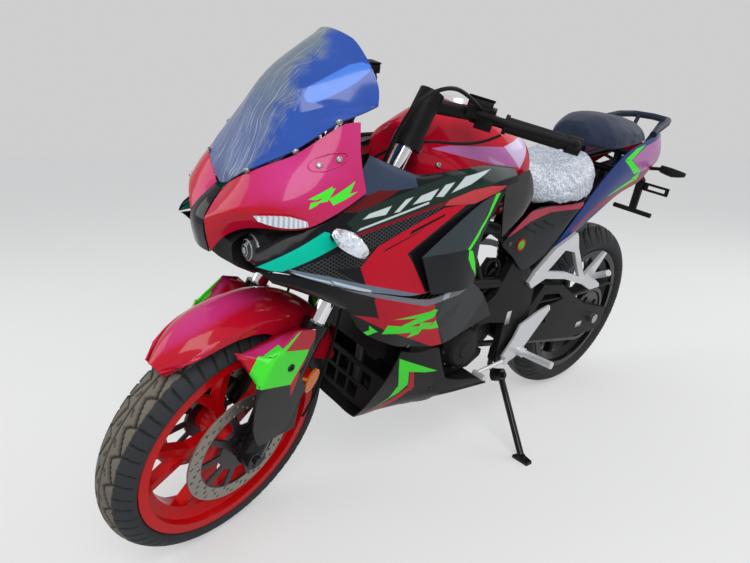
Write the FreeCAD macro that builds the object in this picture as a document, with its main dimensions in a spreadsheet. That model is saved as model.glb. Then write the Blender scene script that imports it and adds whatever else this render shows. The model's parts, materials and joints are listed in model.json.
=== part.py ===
"""Sport bike parked on its side stand, as separate subcomponents.

Each piece is drawn on the upright, straight-ahead bike, in millimetres: X forward
from the rear axle, Y to the rider's left, Z up from the ground. The steered pieces
are then turned about the steering axis, and the whole bike is leaned on its stand.
"""
import FreeCAD
import Part
import Sketcher
import math
import os

from FreeCAD import Matrix, Placement, Rotation, Vector

doc = FreeCAD.newDocument("sport_bike")

# Driving sizes: alias, value in millimetres, degrees or a count
SIZES = (
    ("wheelbase", 1376.0),
    ("lean_angle", 12.33),
    ("steer_angle", 12.87),
    ("rake_angle", 25.5),
    ("trail", 89.0),
    ("seat_clearance", 0.3),
    ("joint_clearance", 0.05),
    ("panel_wall", 3.0),
    ("front_tyre_radius", 287.0),
    ("front_tyre_width", 110.0),
    ("front_crown_radius", 60.0),
    ("rear_tyre_radius", 316.0),
    ("rear_tyre_width", 140.0),
    ("rear_crown_radius", 76.0),
    ("bead_radius", 218.0),
    ("rim_edge_radius", 235.0),
    ("rim_wall", 5.0),
    ("front_rim_width", 95.0),
    ("rear_rim_width", 120.0),
    ("hub_radius", 34.0),
    ("front_hub_width", 116.0),
    ("rear_hub_width", 130.0),
    ("spoke_count", 5),
    ("spoke_thickness", 26.0),
    ("front_disc_radius", 137.5),
    ("front_disc_width", 34.0),
    ("front_disc_offset", 64.0),
    ("rear_disc_radius", 110.0),
    ("rear_disc_offset", -76.0),
    ("rear_disc_width", 60.0),
    ("disc_thickness", 4.5),
    ("disc_hole_radius", 4.0),
    ("disc_hole_count", 20),
    ("axle_radius", 10.0),
    ("fork_spacing", 190.0),
    ("fork_tube_radius", 19.0),
    ("slider_radius", 26.0),
    ("slider_collar_radius", 29.0),
    ("slider_top", 325.0),
    ("lower_yoke_height", 440.0),
    ("upper_yoke_height", 628.0),
    ("yoke_thickness", 32.0),
    ("stem_radius", 15.0),
    ("bearing_gap", 1.5),
    ("riser_bottom", 735.0),
    ("riser_top", 858.0),
    ("riser_radius", 27.0),
    ("bar_radius", 11.0),
    ("grip_radius", 17.0),
    ("grip_length", 128.0),
    ("swingarm_pivot_x", 504.0),
    ("swingarm_pivot_height", 361.0),
    ("swingarm_plate", 22.0),
    ("swingarm_width", 236.0),
    ("sprocket_radius", 92.0),
    ("sprocket_offset", 84.0),
    ("sprocket_thickness", 7.0),
    ("front_sprocket_x", 590.0),
    ("front_sprocket_radius", 34.0),
    ("chain_height", 13.0),
    ("chain_width", 14.0),
    ("engine_width", 194.0),
    ("frame_inner", 119.0),
    ("frame_plate", 22.0),
    ("engine_cover_radius", 62.0),
    ("frame_tube_radius", 15.0),
    ("frame_bolt_radius", 11.0),
    ("subframe_tube_radius", 11.0),
    ("head_tube_radius", 32.0),
    ("radiator_width", 250.0),
    ("radiator_height", 190.0),
    ("radiator_depth", 32.0),
    ("muffler_radius", 48.0),
    ("muffler_length", 360.0),
    ("header_radius", 17.0),
    ("stand_pivot_x", 497.0),
    ("stand_pivot_height", 228.0),
    ("stand_pivot_out", 126.0),
    ("stand_foot_forward", 574.0),
    ("stand_foot_out", 318.0),
    ("stand_tube_radius", 10.0),
    ("peg_length", 95.0),
    ("peg_radius", 11.0),
    ("stand_lug_half", 9.0),
    ("stand_bolt_radius", 6.0),
    ("bobbin_thread_radius", 3.4),
    ("bobbin_thread_depth", 14.0),
    ("bobbin_x", -60.0),
    ("bobbin_height", 300.0),
    ("plate_hole_radius", 3.0),
    ("plate_bar_width", 150.0),
    ("plate_bar_radius", 9.0),
    ("plate_bar_x", -310.0),
    ("plate_bar_height", 655.0),
    ("plate_hole_inset", 14.0),
)

sheet = doc.addObject("Spreadsheet::Sheet", "sizes")
for row_number, (alias, value) in enumerate(SIZES, 1):
    sheet.set("A%d" % row_number, alias)
    sheet.set("B%d" % row_number, repr(value))
    sheet.setAlias("B%d" % row_number, alias)
doc.recompute()


def size(alias):
    """The value of one cell of the sheet."""
    return float(sheet.get(alias))


WHEELBASE = size("wheelbase")
DRAWN_WHEELBASE = 1376.0
ENGINE_REAR_X = 600.0
FRONT_AXLE = Vector(WHEELBASE, 0, size("front_tyre_radius"))
REAR_AXLE = Vector(0, 0, size("rear_tyre_radius"))
RAKE = math.radians(size("rake_angle"))
STEER_FOOT = Vector(WHEELBASE + size("trail"), 0, 0)
STEER_AXIS = Vector(-math.sin(RAKE), 0, math.cos(RAKE))
FORK_HALF = size("fork_spacing") / 2
WALL = size("panel_wall")
LEFT = 1
RIGHT = -1
SIDES = (LEFT, RIGHT)


def along(x):
    """Bodywork ahead of the engine's rear stretches with the wheelbase."""
    share = max(0.0, (x - ENGINE_REAR_X) / (DRAWN_WHEELBASE - ENGINE_REAR_X))
    return x + (WHEELBASE - DRAWN_WHEELBASE) * share


def at(x, y, z):
    """A point of the bodywork."""
    return Vector(along(x), y, z)


def fork_point(height, y=0.0):
    """A point on the fork leg's axis, at a distance up the leg from the axle."""
    return Vector(FRONT_AXLE.x - 4, y, FRONT_AXLE.z + 3) + STEER_AXIS * height


STEM_BASE = (FRONT_AXLE + Vector(-4, 0, 3) - STEER_FOOT).dot(STEER_AXIS)


def on_stem(height):
    """A point on the steering axis level with a height up the fork."""
    return STEER_FOOT + STEER_AXIS * (STEM_BASE + height)


# Stance: the lean about X, then the small pitch that sets both tyres on the ground
def steer_placement(degrees):
    turn = Rotation(STEER_AXIS, degrees)
    return Placement(STEER_FOOT, turn) * Placement(-STEER_FOOT, Rotation())


def axle_height(radius, crown, direction):
    """Height of an axle whose tyre rests on the ground on its round crown."""
    return (radius - crown) * math.sqrt(1 - direction.z ** 2) + crown


def find_stance():
    """Pitch and lift that put both leaned tyres on the ground."""
    pitch = 0.0
    lift = 0.0
    steer = steer_placement(size("steer_angle"))
    for _ in range(12):
        turn = Rotation(Vector(0, 1, 0), pitch) * Rotation(Vector(1, 0, 0), -size("lean_angle"))
        stance = Placement(Vector(0, 0, lift), turn)
        rear_want = axle_height(size("rear_tyre_radius"), size("rear_crown_radius"),
                                turn.multVec(Vector(0, 1, 0)))
        front_want = axle_height(size("front_tyre_radius"), size("front_crown_radius"),
                                 turn.multVec(steer.Rotation.multVec(Vector(0, 1, 0))))
        rear_off = rear_want - stance.multVec(REAR_AXLE).z
        front_off = front_want - stance.multVec(steer.multVec(FRONT_AXLE)).z
        lift += rear_off
        pitch -= math.degrees((front_off - rear_off) / WHEELBASE)
    return stance


STANCE = find_stance()
STEERED = STANCE * steer_placement(size("steer_angle"))
GROUPS = {"frame": STANCE, "steered": STEERED}
pieces = []


def keep(obj, label, group="frame", local=Placement()):
    """Name a finished sub-part and put it in its group's place."""
    obj.Label = label
    obj.Placement = GROUPS[group] * local
    pieces.append((obj, group, local))
    return obj


def feature(label, shape, group="frame"):
    """A sub-part whose shape is worked out in code."""
    obj = doc.addObject("Part::Feature", label)
    if not shape.Placement.isIdentity():
        move = shape.Placement.Matrix
        shape = shape.copy()
        shape.Placement = Placement()
        shape = shape.transformed(move, True)
    obj.Shape = shape
    return keep(obj, label, group)


def join(shapes):
    """One solid from solids that touch."""
    shape = shapes[0].multiFuse(shapes[1:]) if len(shapes) > 1 else shapes[0]
    merged = shape.removeSplitter()
    return merged if merged.isValid() else shape


def both_sides(shape):
    """The left shape and its mirror on the right, as solids that don't touch."""
    return Part.makeCompound([shape, shape.mirror(Vector(0, 0, 0), Vector(0, 1, 0))])


def on_side(shape, side):
    """A shape drawn on the left, put on the side asked for."""
    return shape if side == LEFT else shape.mirror(Vector(0, 0, 0), Vector(0, 1, 0))


def rod(start, end, radius):
    """A round bar between two points."""
    run = end - start
    return Part.makeCylinder(radius, run.Length, start, run)


def tube(points, radius, bend):
    """A round bar along straight runs joined by arcs of one bend radius."""
    edges = []
    last = points[0]
    for before, corner, after in zip(points, points[1:], points[2:]):
        back = (before - corner).normalize()
        ahead = (after - corner).normalize()
        half = back.getAngle(ahead) / 2
        reach = bend / math.tan(half)
        start = corner + back * reach
        end = corner + ahead * reach
        inward = (back + ahead).normalize()
        middle = corner + inward * (bend / math.sin(half) - bend)
        edges.append(Part.makeLine(last, start))
        edges.append(Part.Arc(start, middle, end).toShape())
        last = end
    edges.append(Part.makeLine(last, points[-1]))
    path = Part.Wire(edges)
    circle = Part.Wire(Part.makeCircle(radius, points[0], points[1] - points[0]))
    return path.makePipeShell([circle], True, False)


def polygon(points):
    """A closed wire through points."""
    return Part.makePolygon(list(points) + [points[0]])


def plate(outline, y, thickness, holes=()):
    """A flat plate drawn in side view as (x, z) points, from y outwards."""
    face = Part.Face(polygon([Vector(x, y, z) for x, z in outline]))
    for hole in holes:
        face = face.cut(Part.Face(polygon([Vector(x, y, z) for x, z in hole])))
    return face.Faces[0].extrude(Vector(0, thickness, 0))


def midpoint(points, i, closed):
    """A point halfway along a smooth curve between two neighbours."""
    count = len(points)
    p1, p2 = points[i], points[(i + 1) % count]
    if closed:
        p0, p3 = points[i - 1], points[(i + 2) % count]
    else:
        p0 = points[i - 1] if i > 0 else p1 * 2 - p2
        p3 = points[i + 2] if i + 2 < count else p2 * 2 - p1
    return (p1 + p2) * 0.5625 - (p0 + p3) * 0.0625


def refine(points, closed=False):
    """The same curve with a point added in each span."""
    finer = []
    spans = len(points) if closed else len(points) - 1
    for i in range(spans):
        finer += [points[i], midpoint(points, i, closed)]
    return finer if closed else finer + [points[-1]]


def refine_grid(rows, closed=False):
    """A finer grid of points, across and along."""
    rows = [refine(row, closed) for row in rows]
    columns = [refine(list(column)) for column in zip(*rows)]
    return [list(row) for row in zip(*columns)]


def solid_of(points, facets):
    """A closed solid from points and triangles."""
    shell = Part.Shape()
    shell.makeShapeFromMesh((points, facets), 0.01)
    solid = Part.Solid(Part.Shell(shell.Faces))
    if solid.Volume < 0:
        solid.reverse()
    return solid


def quad(facets, a, b, c, d):
    """Two triangles over four points."""
    facets += [(a, b, c), (a, c, d)]


def fine_rows(rows, finer=1):
    """A panel's outer grid of points, as drawn."""
    rows = [[at(*p) for p in row] for row in rows]
    for _ in range(finer):
        rows = refine_grid(rows)
    return rows


def skin_y(rows, x, z):
    """How far out a side panel's outer face lies at a place seen from the side."""
    rows = fine_rows(rows)
    for upper, lower in zip(rows, rows[1:]):
        for j in range(len(upper) - 1):
            for corners in ((upper[j], lower[j], lower[j + 1]),
                            (upper[j], lower[j + 1], upper[j + 1])):
                a, b, c = corners
                area = (b.x - a.x) * (c.z - a.z) - (c.x - a.x) * (b.z - a.z)
                if abs(area) < 1e-9:
                    continue
                u = ((b.x - x) * (c.z - z) - (c.x - x) * (b.z - z)) / area
                v = ((c.x - x) * (a.z - z) - (a.x - x) * (c.z - z)) / area
                if u >= -1e-6 and v >= -1e-6 and u + v <= 1 + 1e-6:
                    return u * a.y + v * b.y + (1 - u - v) * c.y
    raise ValueError("no panel at %s, %s" % (x, z))


def boss(rows, x, z, end_y, radius):
    """A moulded post from inside a panel's wall, inwards to a flat end."""
    outer = skin_y(rows, x, z)
    return rod(Vector(x, outer - WALL * 0.6, z), Vector(x, end_y, z), radius)


def skin(rows, wall, finer=1, inward=1):
    """A thin curved panel: an outer grid of points, and an inner one a wall away."""
    rows = fine_rows(rows, finer)
    across = len(rows[0])
    count = len(rows)
    inner = []
    for i in range(count):
        for j in range(across):
            along_row = rows[min(i + 1, count - 1)][j] - rows[max(i - 1, 0)][j]
            along_column = rows[i][min(j + 1, across - 1)] - rows[i][max(j - 1, 0)]
            normal = along_row.cross(along_column).normalize()
            inner.append(rows[i][j] + normal * wall * inward)
    points = [p for row in rows for p in row] + inner
    under = count * across
    facets = []
    for i in range(count - 1):
        for j in range(across - 1):
            a = i * across + j
            b, c, d = a + across, a + across + 1, a + 1
            quad(facets, a, b, c, d)
            quad(facets, under + a, under + d, under + c, under + b)
    for i in range(count - 1):
        for j in (0, across - 1):
            a = i * across + j
            b = a + across
            if j:
                a, b = b, a
            quad(facets, a, under + a, under + b, b)
    for j in range(across - 1):
        for i in (0, count - 1):
            a = i * across + j
            b = a + 1
            if not i:
                a, b = b, a
            quad(facets, a, under + a, under + b, b)
    return solid_of(points, facets)


def hull(loops, finer=1):
    """A closed body through closed loops of points, with its two ends capped."""
    rows = [[at(*p) for p in loop] for loop in loops]
    for _ in range(finer):
        rows = refine_grid(rows, closed=True)
    across = len(rows[0])
    points = [p for row in rows for p in row]
    facets = []
    for i in range(len(rows) - 1):
        for j in range(across):
            a = i * across + j
            d = i * across + (j + 1) % across
            quad(facets, a, d, d + across, a + across)
    for row, flip in ((0, True), (len(rows) - 1, False)):
        middle = Vector(0, 0, 0)
        for p in rows[row]:
            middle = middle + p
        points.append(middle * (1.0 / across))
        centre = len(points) - 1
        for j in range(across):
            a = row * across + j
            d = row * across + (j + 1) % across
            facets.append((centre, d, a) if flip else (centre, a, d))
    return solid_of(points, facets)


def mirrored_loop(half):
    """A closed loop from its left half, listed from top to bottom."""
    return list(half) + [(x, -y, z) for x, y, z in reversed(half) if y > 0.01]


def mirrored_row(half):
    """A row across the bike from its left half, listed from the middle outwards."""
    return [(x, -y, z) for x, y, z in reversed(half) if y > 0.01] + list(half)


# Sketch helpers for the pieces turned or cut from plate
def new_body(label):
    return doc.addObject("PartDesign::Body", label)


def new_sketch(body, role, name):
    """A sketch on one of the body's own origin planes."""
    plane = [f for f in body.Origin.OriginFeatures if f.Role == role][0]
    sketch = body.newObject("Sketcher::SketchObject", name)
    sketch.AttachmentSupport = (plane, [""])
    sketch.MapMode = "FlatFace"
    return sketch


def draw(sketch, points):
    """A closed outline. A point of four numbers ends an arc through its last two."""
    count = len(points)
    for i, start in enumerate(points):
        end = points[(i + 1) % count]
        a = Vector(start[0], start[1], 0)
        b = Vector(end[0], end[1], 0)
        if len(end) == 4:
            sketch.addGeometry(Part.Arc(a, Vector(end[2], end[3], 0), b), False)
        else:
            sketch.addGeometry(Part.LineSegment(a, b), False)


def circle(sketch, x, y, radius, alias=None):
    """A circle whose radius may be bound to a cell."""
    number = sketch.addGeometry(Part.Circle(Vector(x, y, 0), Vector(0, 0, 1), radius), False)
    where = sketch.addConstraint(Sketcher.Constraint("Radius", number, radius))
    if alias:
        sketch.setExpression("Constraints[%d]" % where, "sizes." + alias)
    return number


def revolve(label, points):
    """A body turned about its own Z axis from an outline of (radius, height)."""
    body = new_body(label)
    sketch = new_sketch(body, "XZ_Plane", label + "_outline")
    draw(sketch, points)
    turned = body.newObject("PartDesign::Revolution", label + "_turned")
    turned.Profile = sketch
    turned.ReferenceAxis = (sketch, ["V_Axis"])
    turned.Angle = 360
    return body


def pad(body, sketch, name, length, midplane=False, expression=None):
    feature_pad = body.newObject("PartDesign::Pad", name)
    feature_pad.Profile = sketch
    feature_pad.Length = length
    feature_pad.Midplane = midplane
    if expression:
        feature_pad.setExpression("Length", expression)
    return feature_pad


def pattern(body, originals, count, name, expression=None):
    """Copies of features about the body's Z axis."""
    axis = [f for f in body.Origin.OriginFeatures if f.Role == "Z_Axis"][0]
    polar = body.newObject("PartDesign::PolarPattern", name)
    polar.Originals = originals
    polar.Axis = (axis, [""])
    polar.Angle = 360
    polar.Occurrences = count
    if expression:
        polar.setExpression("Occurrences", expression)
    body.Tip = polar
    return polar


def wheel_place(axle):
    """A wheel's own Z axis points to the left."""
    return Placement(axle, Rotation(Vector(1, 0, 0), -90))


# Wheels
def tyre_outline(radius, width, crown, rim_width):
    """Points of a tyre's section, as (radius, height)."""
    half = width / 2
    tread = half * 0.96
    edge = radius - crown + math.sqrt(crown ** 2 - tread ** 2)
    rim = rim_width / 2 - size("rim_wall") - size("seat_clearance")
    bead = size("bead_radius") + size("seat_clearance")
    wall_radius = size("rim_edge_radius") + 2
    bulge = (edge + wall_radius) / 2
    return [
        (edge, -tread, bulge, -half),
        (edge, tread, radius, 0),
        (wall_radius, rim, bulge, half),
        (bead, rim),
        (bead, -rim),
        (wall_radius, -rim),
    ]


def rim_outline(width):
    """Points of the barrel's section, as (radius, height)."""
    half = width / 2
    wall = size("rim_wall")
    edge = size("rim_edge_radius")
    bead = size("bead_radius")
    well = bead - 22
    return [
        (edge, half),
        (edge, half - wall),
        (bead, half - wall),
        (bead, half - 22),
        (well, half - 34),
        (well, -half + 34),
        (bead, -half + 22),
        (bead, -half + wall),
        (edge, -half + wall),
        (edge, -half),
        (bead - wall, -half),
        (bead - wall, -half + 18),
        (well - wall - 1, -half + 32),
        (well - wall - 1, half - 32),
        (bead - wall, half - 18),
        (bead - wall, half),
    ]


def wheel_rim(label, width, hub_alias, bore, group, axle):
    """Cast wheel: barrel, hub and forked spokes."""
    body = revolve(label, rim_outline(width))
    hub = new_sketch(body, "XY_Plane", label + "_hub_outline")
    circle(hub, 0, 0, size("hub_radius"), "hub_radius")
    circle(hub, 0, 0, bore)
    barrel_inner = size("bead_radius") - 22 - size("rim_wall")
    reach = barrel_inner + 2
    fork = size("hub_radius") + 62
    spoke = new_sketch(body, "XY_Plane", label + "_spoke_outline")
    arm = 13.0
    spread = math.radians(17)
    tip = [(reach * math.cos(a), reach * math.sin(a)) for a in (spread, spread - 0.09)]
    draw(spoke, [
        (size("hub_radius") - 8, -arm),
        (fork, -arm),
        (tip[0][0], -tip[0][1]),
        (tip[1][0] + 2, -tip[1][1]),
        (fork + 18, 0),
        (tip[1][0] + 2, tip[1][1]),
        (tip[0][0], tip[0][1]),
        (fork, arm),
        (size("hub_radius") - 8, arm),
    ])
    spoke_pad = pad(body, spoke, label + "_spoke", size("spoke_thickness"), True,
                    "sizes.spoke_thickness")
    pattern(body, [spoke_pad], int(size("spoke_count")), label + "_spokes",
            "sizes.spoke_count")
    pad(body, hub, label + "_hub", size(hub_alias), True, "sizes." + hub_alias)
    return keep(body, label, group, wheel_place(axle))


def brake_disc(label, outer, width):
    """Drilled brake ring."""
    body = new_body(label)
    ring = new_sketch(body, "XY_Plane", label + "_ring")
    circle(ring, 0, 0, outer)
    circle(ring, 0, 0, outer - width)
    pad(body, ring, label + "_plate", size("disc_thickness"), True, "sizes.disc_thickness")
    hole = new_sketch(body, "XY_Plane", label + "_hole")
    middle = outer - width / 2
    step = math.radians(360 / size("disc_hole_count")) / 3
    for k, shift in enumerate((-width / 3.6, 0, width / 3.6)):
        r = middle + shift
        circle(hole, r * math.cos(k * step), r * math.sin(k * step), size("disc_hole_radius"),
               "disc_hole_radius")
    cut = body.newObject("PartDesign::Pocket", label + "_drill")
    cut.Profile = hole
    cut.Type = 1
    cut.Midplane = True
    pattern(body, [cut], int(size("disc_hole_count")), label + "_holes",
            "sizes.disc_hole_count")
    return body


def disc_pair():
    """Two front discs, one each side of the hub."""
    discs = []
    outer = size("front_disc_radius")
    one = brake_disc("front_disc_ring", outer, size("front_disc_width"))
    doc.recompute()
    shape = one.Shape.copy()
    for side in SIDES:
        copy = shape.copy()
        copy.Placement = Placement(FRONT_AXLE + Vector(0, side * size("front_disc_offset"), 0),
                                   Rotation(Vector(1, 0, 0), -90))
        discs.append(copy)
    return discs


def carriers():
    """Black disc carriers: a hub ring with arms that end at the disc's buttons."""
    solids = []
    inner = size("front_disc_radius") - size("front_disc_width")
    for side in SIDES:
        y = side * size("front_disc_offset")
        hub_end = size("front_hub_width") / 2
        hub_side = side * (hub_end + size("seat_clearance"))
        thick = abs(y) - abs(hub_side) + size("disc_thickness") / 2
        ring = Part.makeCylinder(58, thick, Vector(0, hub_side, 0), Vector(0, side, 0))
        bore = Part.makeCylinder(24, thick + 2, Vector(0, hub_side - side, 0),
                                 Vector(0, side, 0))
        arms = []
        for k in range(10):
            angle = k * 36
            arm = Part.makeBox(inner - 50 - size("seat_clearance"), size("disc_thickness"), 15,
                               Vector(50, y - size("disc_thickness") / 2, -7.5))
            arm.rotate(Vector(0, 0, 0), Vector(0, 1, 0), angle)
            arms.append(arm)
        solid = join([ring] + arms).cut(bore)
        solid.translate(FRONT_AXLE)
        solids.append(solid)
    return solids


def sprocket():
    """Rear sprocket with low teeth inside the chain's run."""
    radius = size("sprocket_radius")
    teeth = 40
    points = []
    for k in range(teeth):
        for turn, r in ((-0.30, radius - 6), (-0.12, radius - 1), (0.12, radius - 1),
                        (0.30, radius - 6)):
            a = math.radians((k + turn) * 360 / teeth)
            points.append((r * math.cos(a), r * math.sin(a)))
    body = new_body("sprocket_ring")
    sketch = new_sketch(body, "XY_Plane", "sprocket_outline")
    draw(sketch, points)
    circle(sketch, 0, 0, 36)
    for k in range(5):
        a = math.radians(k * 72)
        circle(sketch, 62 * math.cos(a), 62 * math.sin(a), 13)
    thick = size("sprocket_thickness")
    pad(body, sketch, "sprocket_plate", thick, True)
    doc.recompute()
    plate_shape = body.Shape.copy()
    plate_shape.Placement = wheel_place(REAR_AXLE + Vector(0, size("sprocket_offset"), 0))
    hub_end = size("rear_hub_width") / 2 + size("seat_clearance")
    inner = REAR_AXLE + Vector(0, hub_end, 0)
    outer = REAR_AXLE + Vector(0, size("sprocket_offset") + 1, 0)
    carrier = rod(inner, outer, 44).cut(rod(inner - Vector(0, 1, 0), outer + Vector(0, 1, 0), 28))
    feature("rear_sprocket", plate_shape.fuse(carrier))


def wheels():
    """Both wheels with their tyres, discs and sprocket."""
    front = revolve("front_tyre", tyre_outline(
        size("front_tyre_radius"), size("front_tyre_width"), size("front_crown_radius"),
        size("front_rim_width")))
    keep(front, "front_tyre", "steered", wheel_place(FRONT_AXLE))
    rear = revolve("rear_tyre", tyre_outline(
        size("rear_tyre_radius"), size("rear_tyre_width"), size("rear_crown_radius"),
        size("rear_rim_width")))
    keep(rear, "rear_tyre", "frame", wheel_place(REAR_AXLE))
    bore = size("axle_radius") + size("joint_clearance")
    wheel_rim("front_rim", size("front_rim_width"), "front_hub_width", bore, "steered",
              FRONT_AXLE)
    wheel_rim("rear_rim", size("rear_rim_width"), "rear_hub_width", bore, "frame", REAR_AXLE)
    feature("front_discs", Part.makeCompound(disc_pair() + carriers()), "steered")
    sprocket()
    ring = brake_disc("rear_disc_ring", size("rear_disc_radius"), size("rear_disc_width"))
    doc.recompute()
    disc = ring.Shape.copy()
    disc.Placement = wheel_place(REAR_AXLE + Vector(0, size("rear_disc_offset"), 0))
    hub_end = size("rear_hub_width") / 2 + size("seat_clearance")
    inner = REAR_AXLE - Vector(0, hub_end, 0)
    outer = REAR_AXLE + Vector(0, size("rear_disc_offset") - 1, 0)
    carrier = rod(inner, outer, size("rear_disc_radius") - size("rear_disc_width") + 6)
    carrier = carrier.cut(rod(inner + Vector(0, 1, 0), outer - Vector(0, 1, 0), 28))
    feature("rear_disc", disc.fuse(carrier))


CALIPER_HALF = 22.0
TANK_PEG_RADIUS = 10.0
BRACKET_Y = size("frame_inner") + size("frame_plate") + size("seat_clearance")
BRACKET_THICK = 12.0
STAY_HEIGHT = 782.0
LAMP_BACK_X = 1290.0 + (WHEELBASE - DRAWN_WHEELBASE)


# Steered pieces
def caliper_lug(side):
    """Plate from a slider back over the outer face of its caliper."""
    y = size("front_disc_offset") + CALIPER_HALF + size("seat_clearance")
    shift = WHEELBASE - DRAWN_WHEELBASE
    lift = FRONT_AXLE.z - 287
    outline = [(1342, 318), (1316, 372), (1262, 372), (1246, 352), (1248, 292), (1330, 300)]
    outline = [(x + shift, z + lift) for x, z in outline]
    return plate(outline, side * y, side * 12)


def fork():
    """Chrome tubes, black sliders, yokes and axle."""
    tubes = []
    sliders = []
    for side in SIDES:
        y = side * FORK_HALF
        tubes.append(rod(fork_point(150, y), fork_point(size("riser_bottom") + 60, y),
                         size("fork_tube_radius")))
        lower = rod(fork_point(-22, y), fork_point(size("slider_top") - 25, y),
                    size("slider_radius"))
        collar = rod(fork_point(size("slider_top") - 25, y), fork_point(size("slider_top"), y),
                     size("slider_collar_radius"))
        bore = rod(fork_point(149, y), fork_point(size("slider_top") + 5, y),
                   size("fork_tube_radius") + size("joint_clearance"))
        lug = rod(FRONT_AXLE + Vector(0, y - side * 26, 0), FRONT_AXLE + Vector(0, y + side * 24, 0),
                  24)
        lug = lug.fuse(caliper_lug(side))
        sliders.append(lower.fuse(collar).cut(bore).fuse(lug))
    feature("fork_tubes", Part.makeCompound(tubes), "steered")
    reach = FORK_HALF + size("slider_radius") + 4
    axle = rod(FRONT_AXLE + Vector(0, -reach, 0), FRONT_AXLE + Vector(0, reach, 0),
               size("axle_radius"))
    feature("fork_sliders", sliders[0].multiFuse([sliders[1], axle]), "steered")


def yokes():
    """Lower and upper fork yokes joined by the steering stem."""
    solids = []
    for height in (size("lower_yoke_height"), size("upper_yoke_height")):
        base = fork_point(height)
        stem = on_stem(height)
        bosses = [rod(fork_point(height, side * FORK_HALF),
                      fork_point(height + size("yoke_thickness"), side * FORK_HALF), 29)
                  for side in SIDES]
        centre = rod(stem, stem + STEER_AXIS * size("yoke_thickness"), 34)
        across = Part.makeBox(FORK_HALF * 2, 44, size("yoke_thickness") - 6)
        across.translate(Vector(-FORK_HALF, -22, 3))
        across.rotate(Vector(0, 0, 0), Vector(0, 0, 1), 90)
        across.rotate(Vector(0, 0, 0), Vector(0, 1, 0), -size("rake_angle"))
        across.translate(base - Vector(math.cos(RAKE), 0, math.sin(RAKE)) * 16)
        solids += bosses + [centre, across]
    low = on_stem(size("lower_yoke_height"))
    top = on_stem(size("upper_yoke_height") + size("yoke_thickness"))
    solids.append(rod(low, top, size("stem_radius")))
    shape = join(solids)
    for side in SIDES:
        y = side * FORK_HALF
        shape = shape.cut(rod(fork_point(300, y), fork_point(800, y),
                              size("fork_tube_radius") + size("joint_clearance")))
    feature("fork_yokes", shape, "steered")


GRIP_START = Vector(875, 210, 1028)
BAR_END = Vector(800, 360, 1020)


def bars():
    """Tall clip-on bars, grips, levers and switch housings on both sides."""
    shift = Vector(WHEELBASE - DRAWN_WHEELBASE, 0, 0)
    start = GRIP_START + shift
    along_bar = (BAR_END - GRIP_START).normalize()
    grip_end = start + along_bar * size("grip_length")
    end = BAR_END + shift
    y = FORK_HALF
    riser = rod(fork_point(size("riser_bottom"), y), fork_point(size("riser_top"), y),
                size("riser_radius"))
    band = rod(fork_point(size("riser_bottom"), y), fork_point(size("riser_bottom") + 24, y),
               size("riser_radius") + 5)
    top = fork_point(size("riser_top") - 26, y)
    stub_knee = start - along_bar * 62
    stub = tube([top, stub_knee, grip_end + along_bar * 10], size("bar_radius"), 25)
    elbow = hull_between(top, stub_knee, 17, 13)
    bore = rod(fork_point(150, y), fork_point(size("riser_bottom") + 60.3, y),
               size("fork_tube_radius") + size("joint_clearance"))
    bar = join([riser, band, elbow, stub]).cut(bore)
    feature("handlebars", both_sides(bar), "steered")
    grip = rod(start, grip_end, size("grip_radius"))
    grip = join([grip, rod(start, start + along_bar * 8, size("grip_radius") + 4)])
    bar_bore = size("bar_radius") + size("joint_clearance")
    core = rod(start - along_bar, grip_end + along_bar, bar_bore)
    grip = grip.cut(core)
    weight = join([rod(grip_end + along_bar * 10, end, 19),
                   rod(grip_end + along_bar * 0.3, grip_end + along_bar * 10, 15)])
    weight = weight.cut(rod(grip_end - along_bar, grip_end + along_bar * 10.3, bar_bore))
    feature("grips", both_sides(Part.makeCompound([grip, weight])), "steered")
    up = Vector(0, 0, 1)
    ahead = along_bar.cross(up).normalize() * -1
    if ahead.x < 0:
        ahead = ahead * -1
    house = block(start - along_bar * 42, along_bar, ahead, 38, 40, 46)
    perch_base = start - along_bar * 60
    perch = block(perch_base + up * 12 + ahead * 18, along_bar, ahead, 46, 46, 24)
    clamp = rod(start - along_bar * 74, start - along_bar * 46, 17)
    housing = join([house, clamp, perch])
    clear = size("joint_clearance")
    housing = housing.cut(tube([top, stub_knee, start + along_bar * 4], bar_bore, 25))
    housing = housing.cut(hull_between(top, stub_knee + (stub_knee - top).normalize() * 1.0,
                                       17 + clear, 13 + clear))
    pivot = perch_base + up * 12 + ahead * 42
    knee = start + ahead * 66 + up * 12 + along_bar * 10
    tip = start + ahead * 50 + up * 12 + along_bar * 150
    lever = tube([pivot, knee, tip], 6.5, 30)
    ball = Part.makeSphere(9, tip)
    feature("hand_controls", both_sides(join([housing, lever, ball])), "steered")


def block(centre, along_dir, ahead, length, depth, height):
    """A box lined up with a bar."""
    up = along_dir.cross(ahead)
    if up.z < 0:
        up = up * -1
    corner = centre - along_dir * (length / 2) - ahead * (depth / 2) - up * (height / 2)
    base = polygon([corner, corner + along_dir * length,
                    corner + along_dir * length + ahead * depth, corner + ahead * depth])
    return Part.Face(base).extrude(up * height)


def hull_between(start, end, start_radius, end_radius):
    """A tapered round arm."""
    run = end - start
    return Part.makeCone(start_radius, end_radius, run.Length, start, run)


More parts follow.
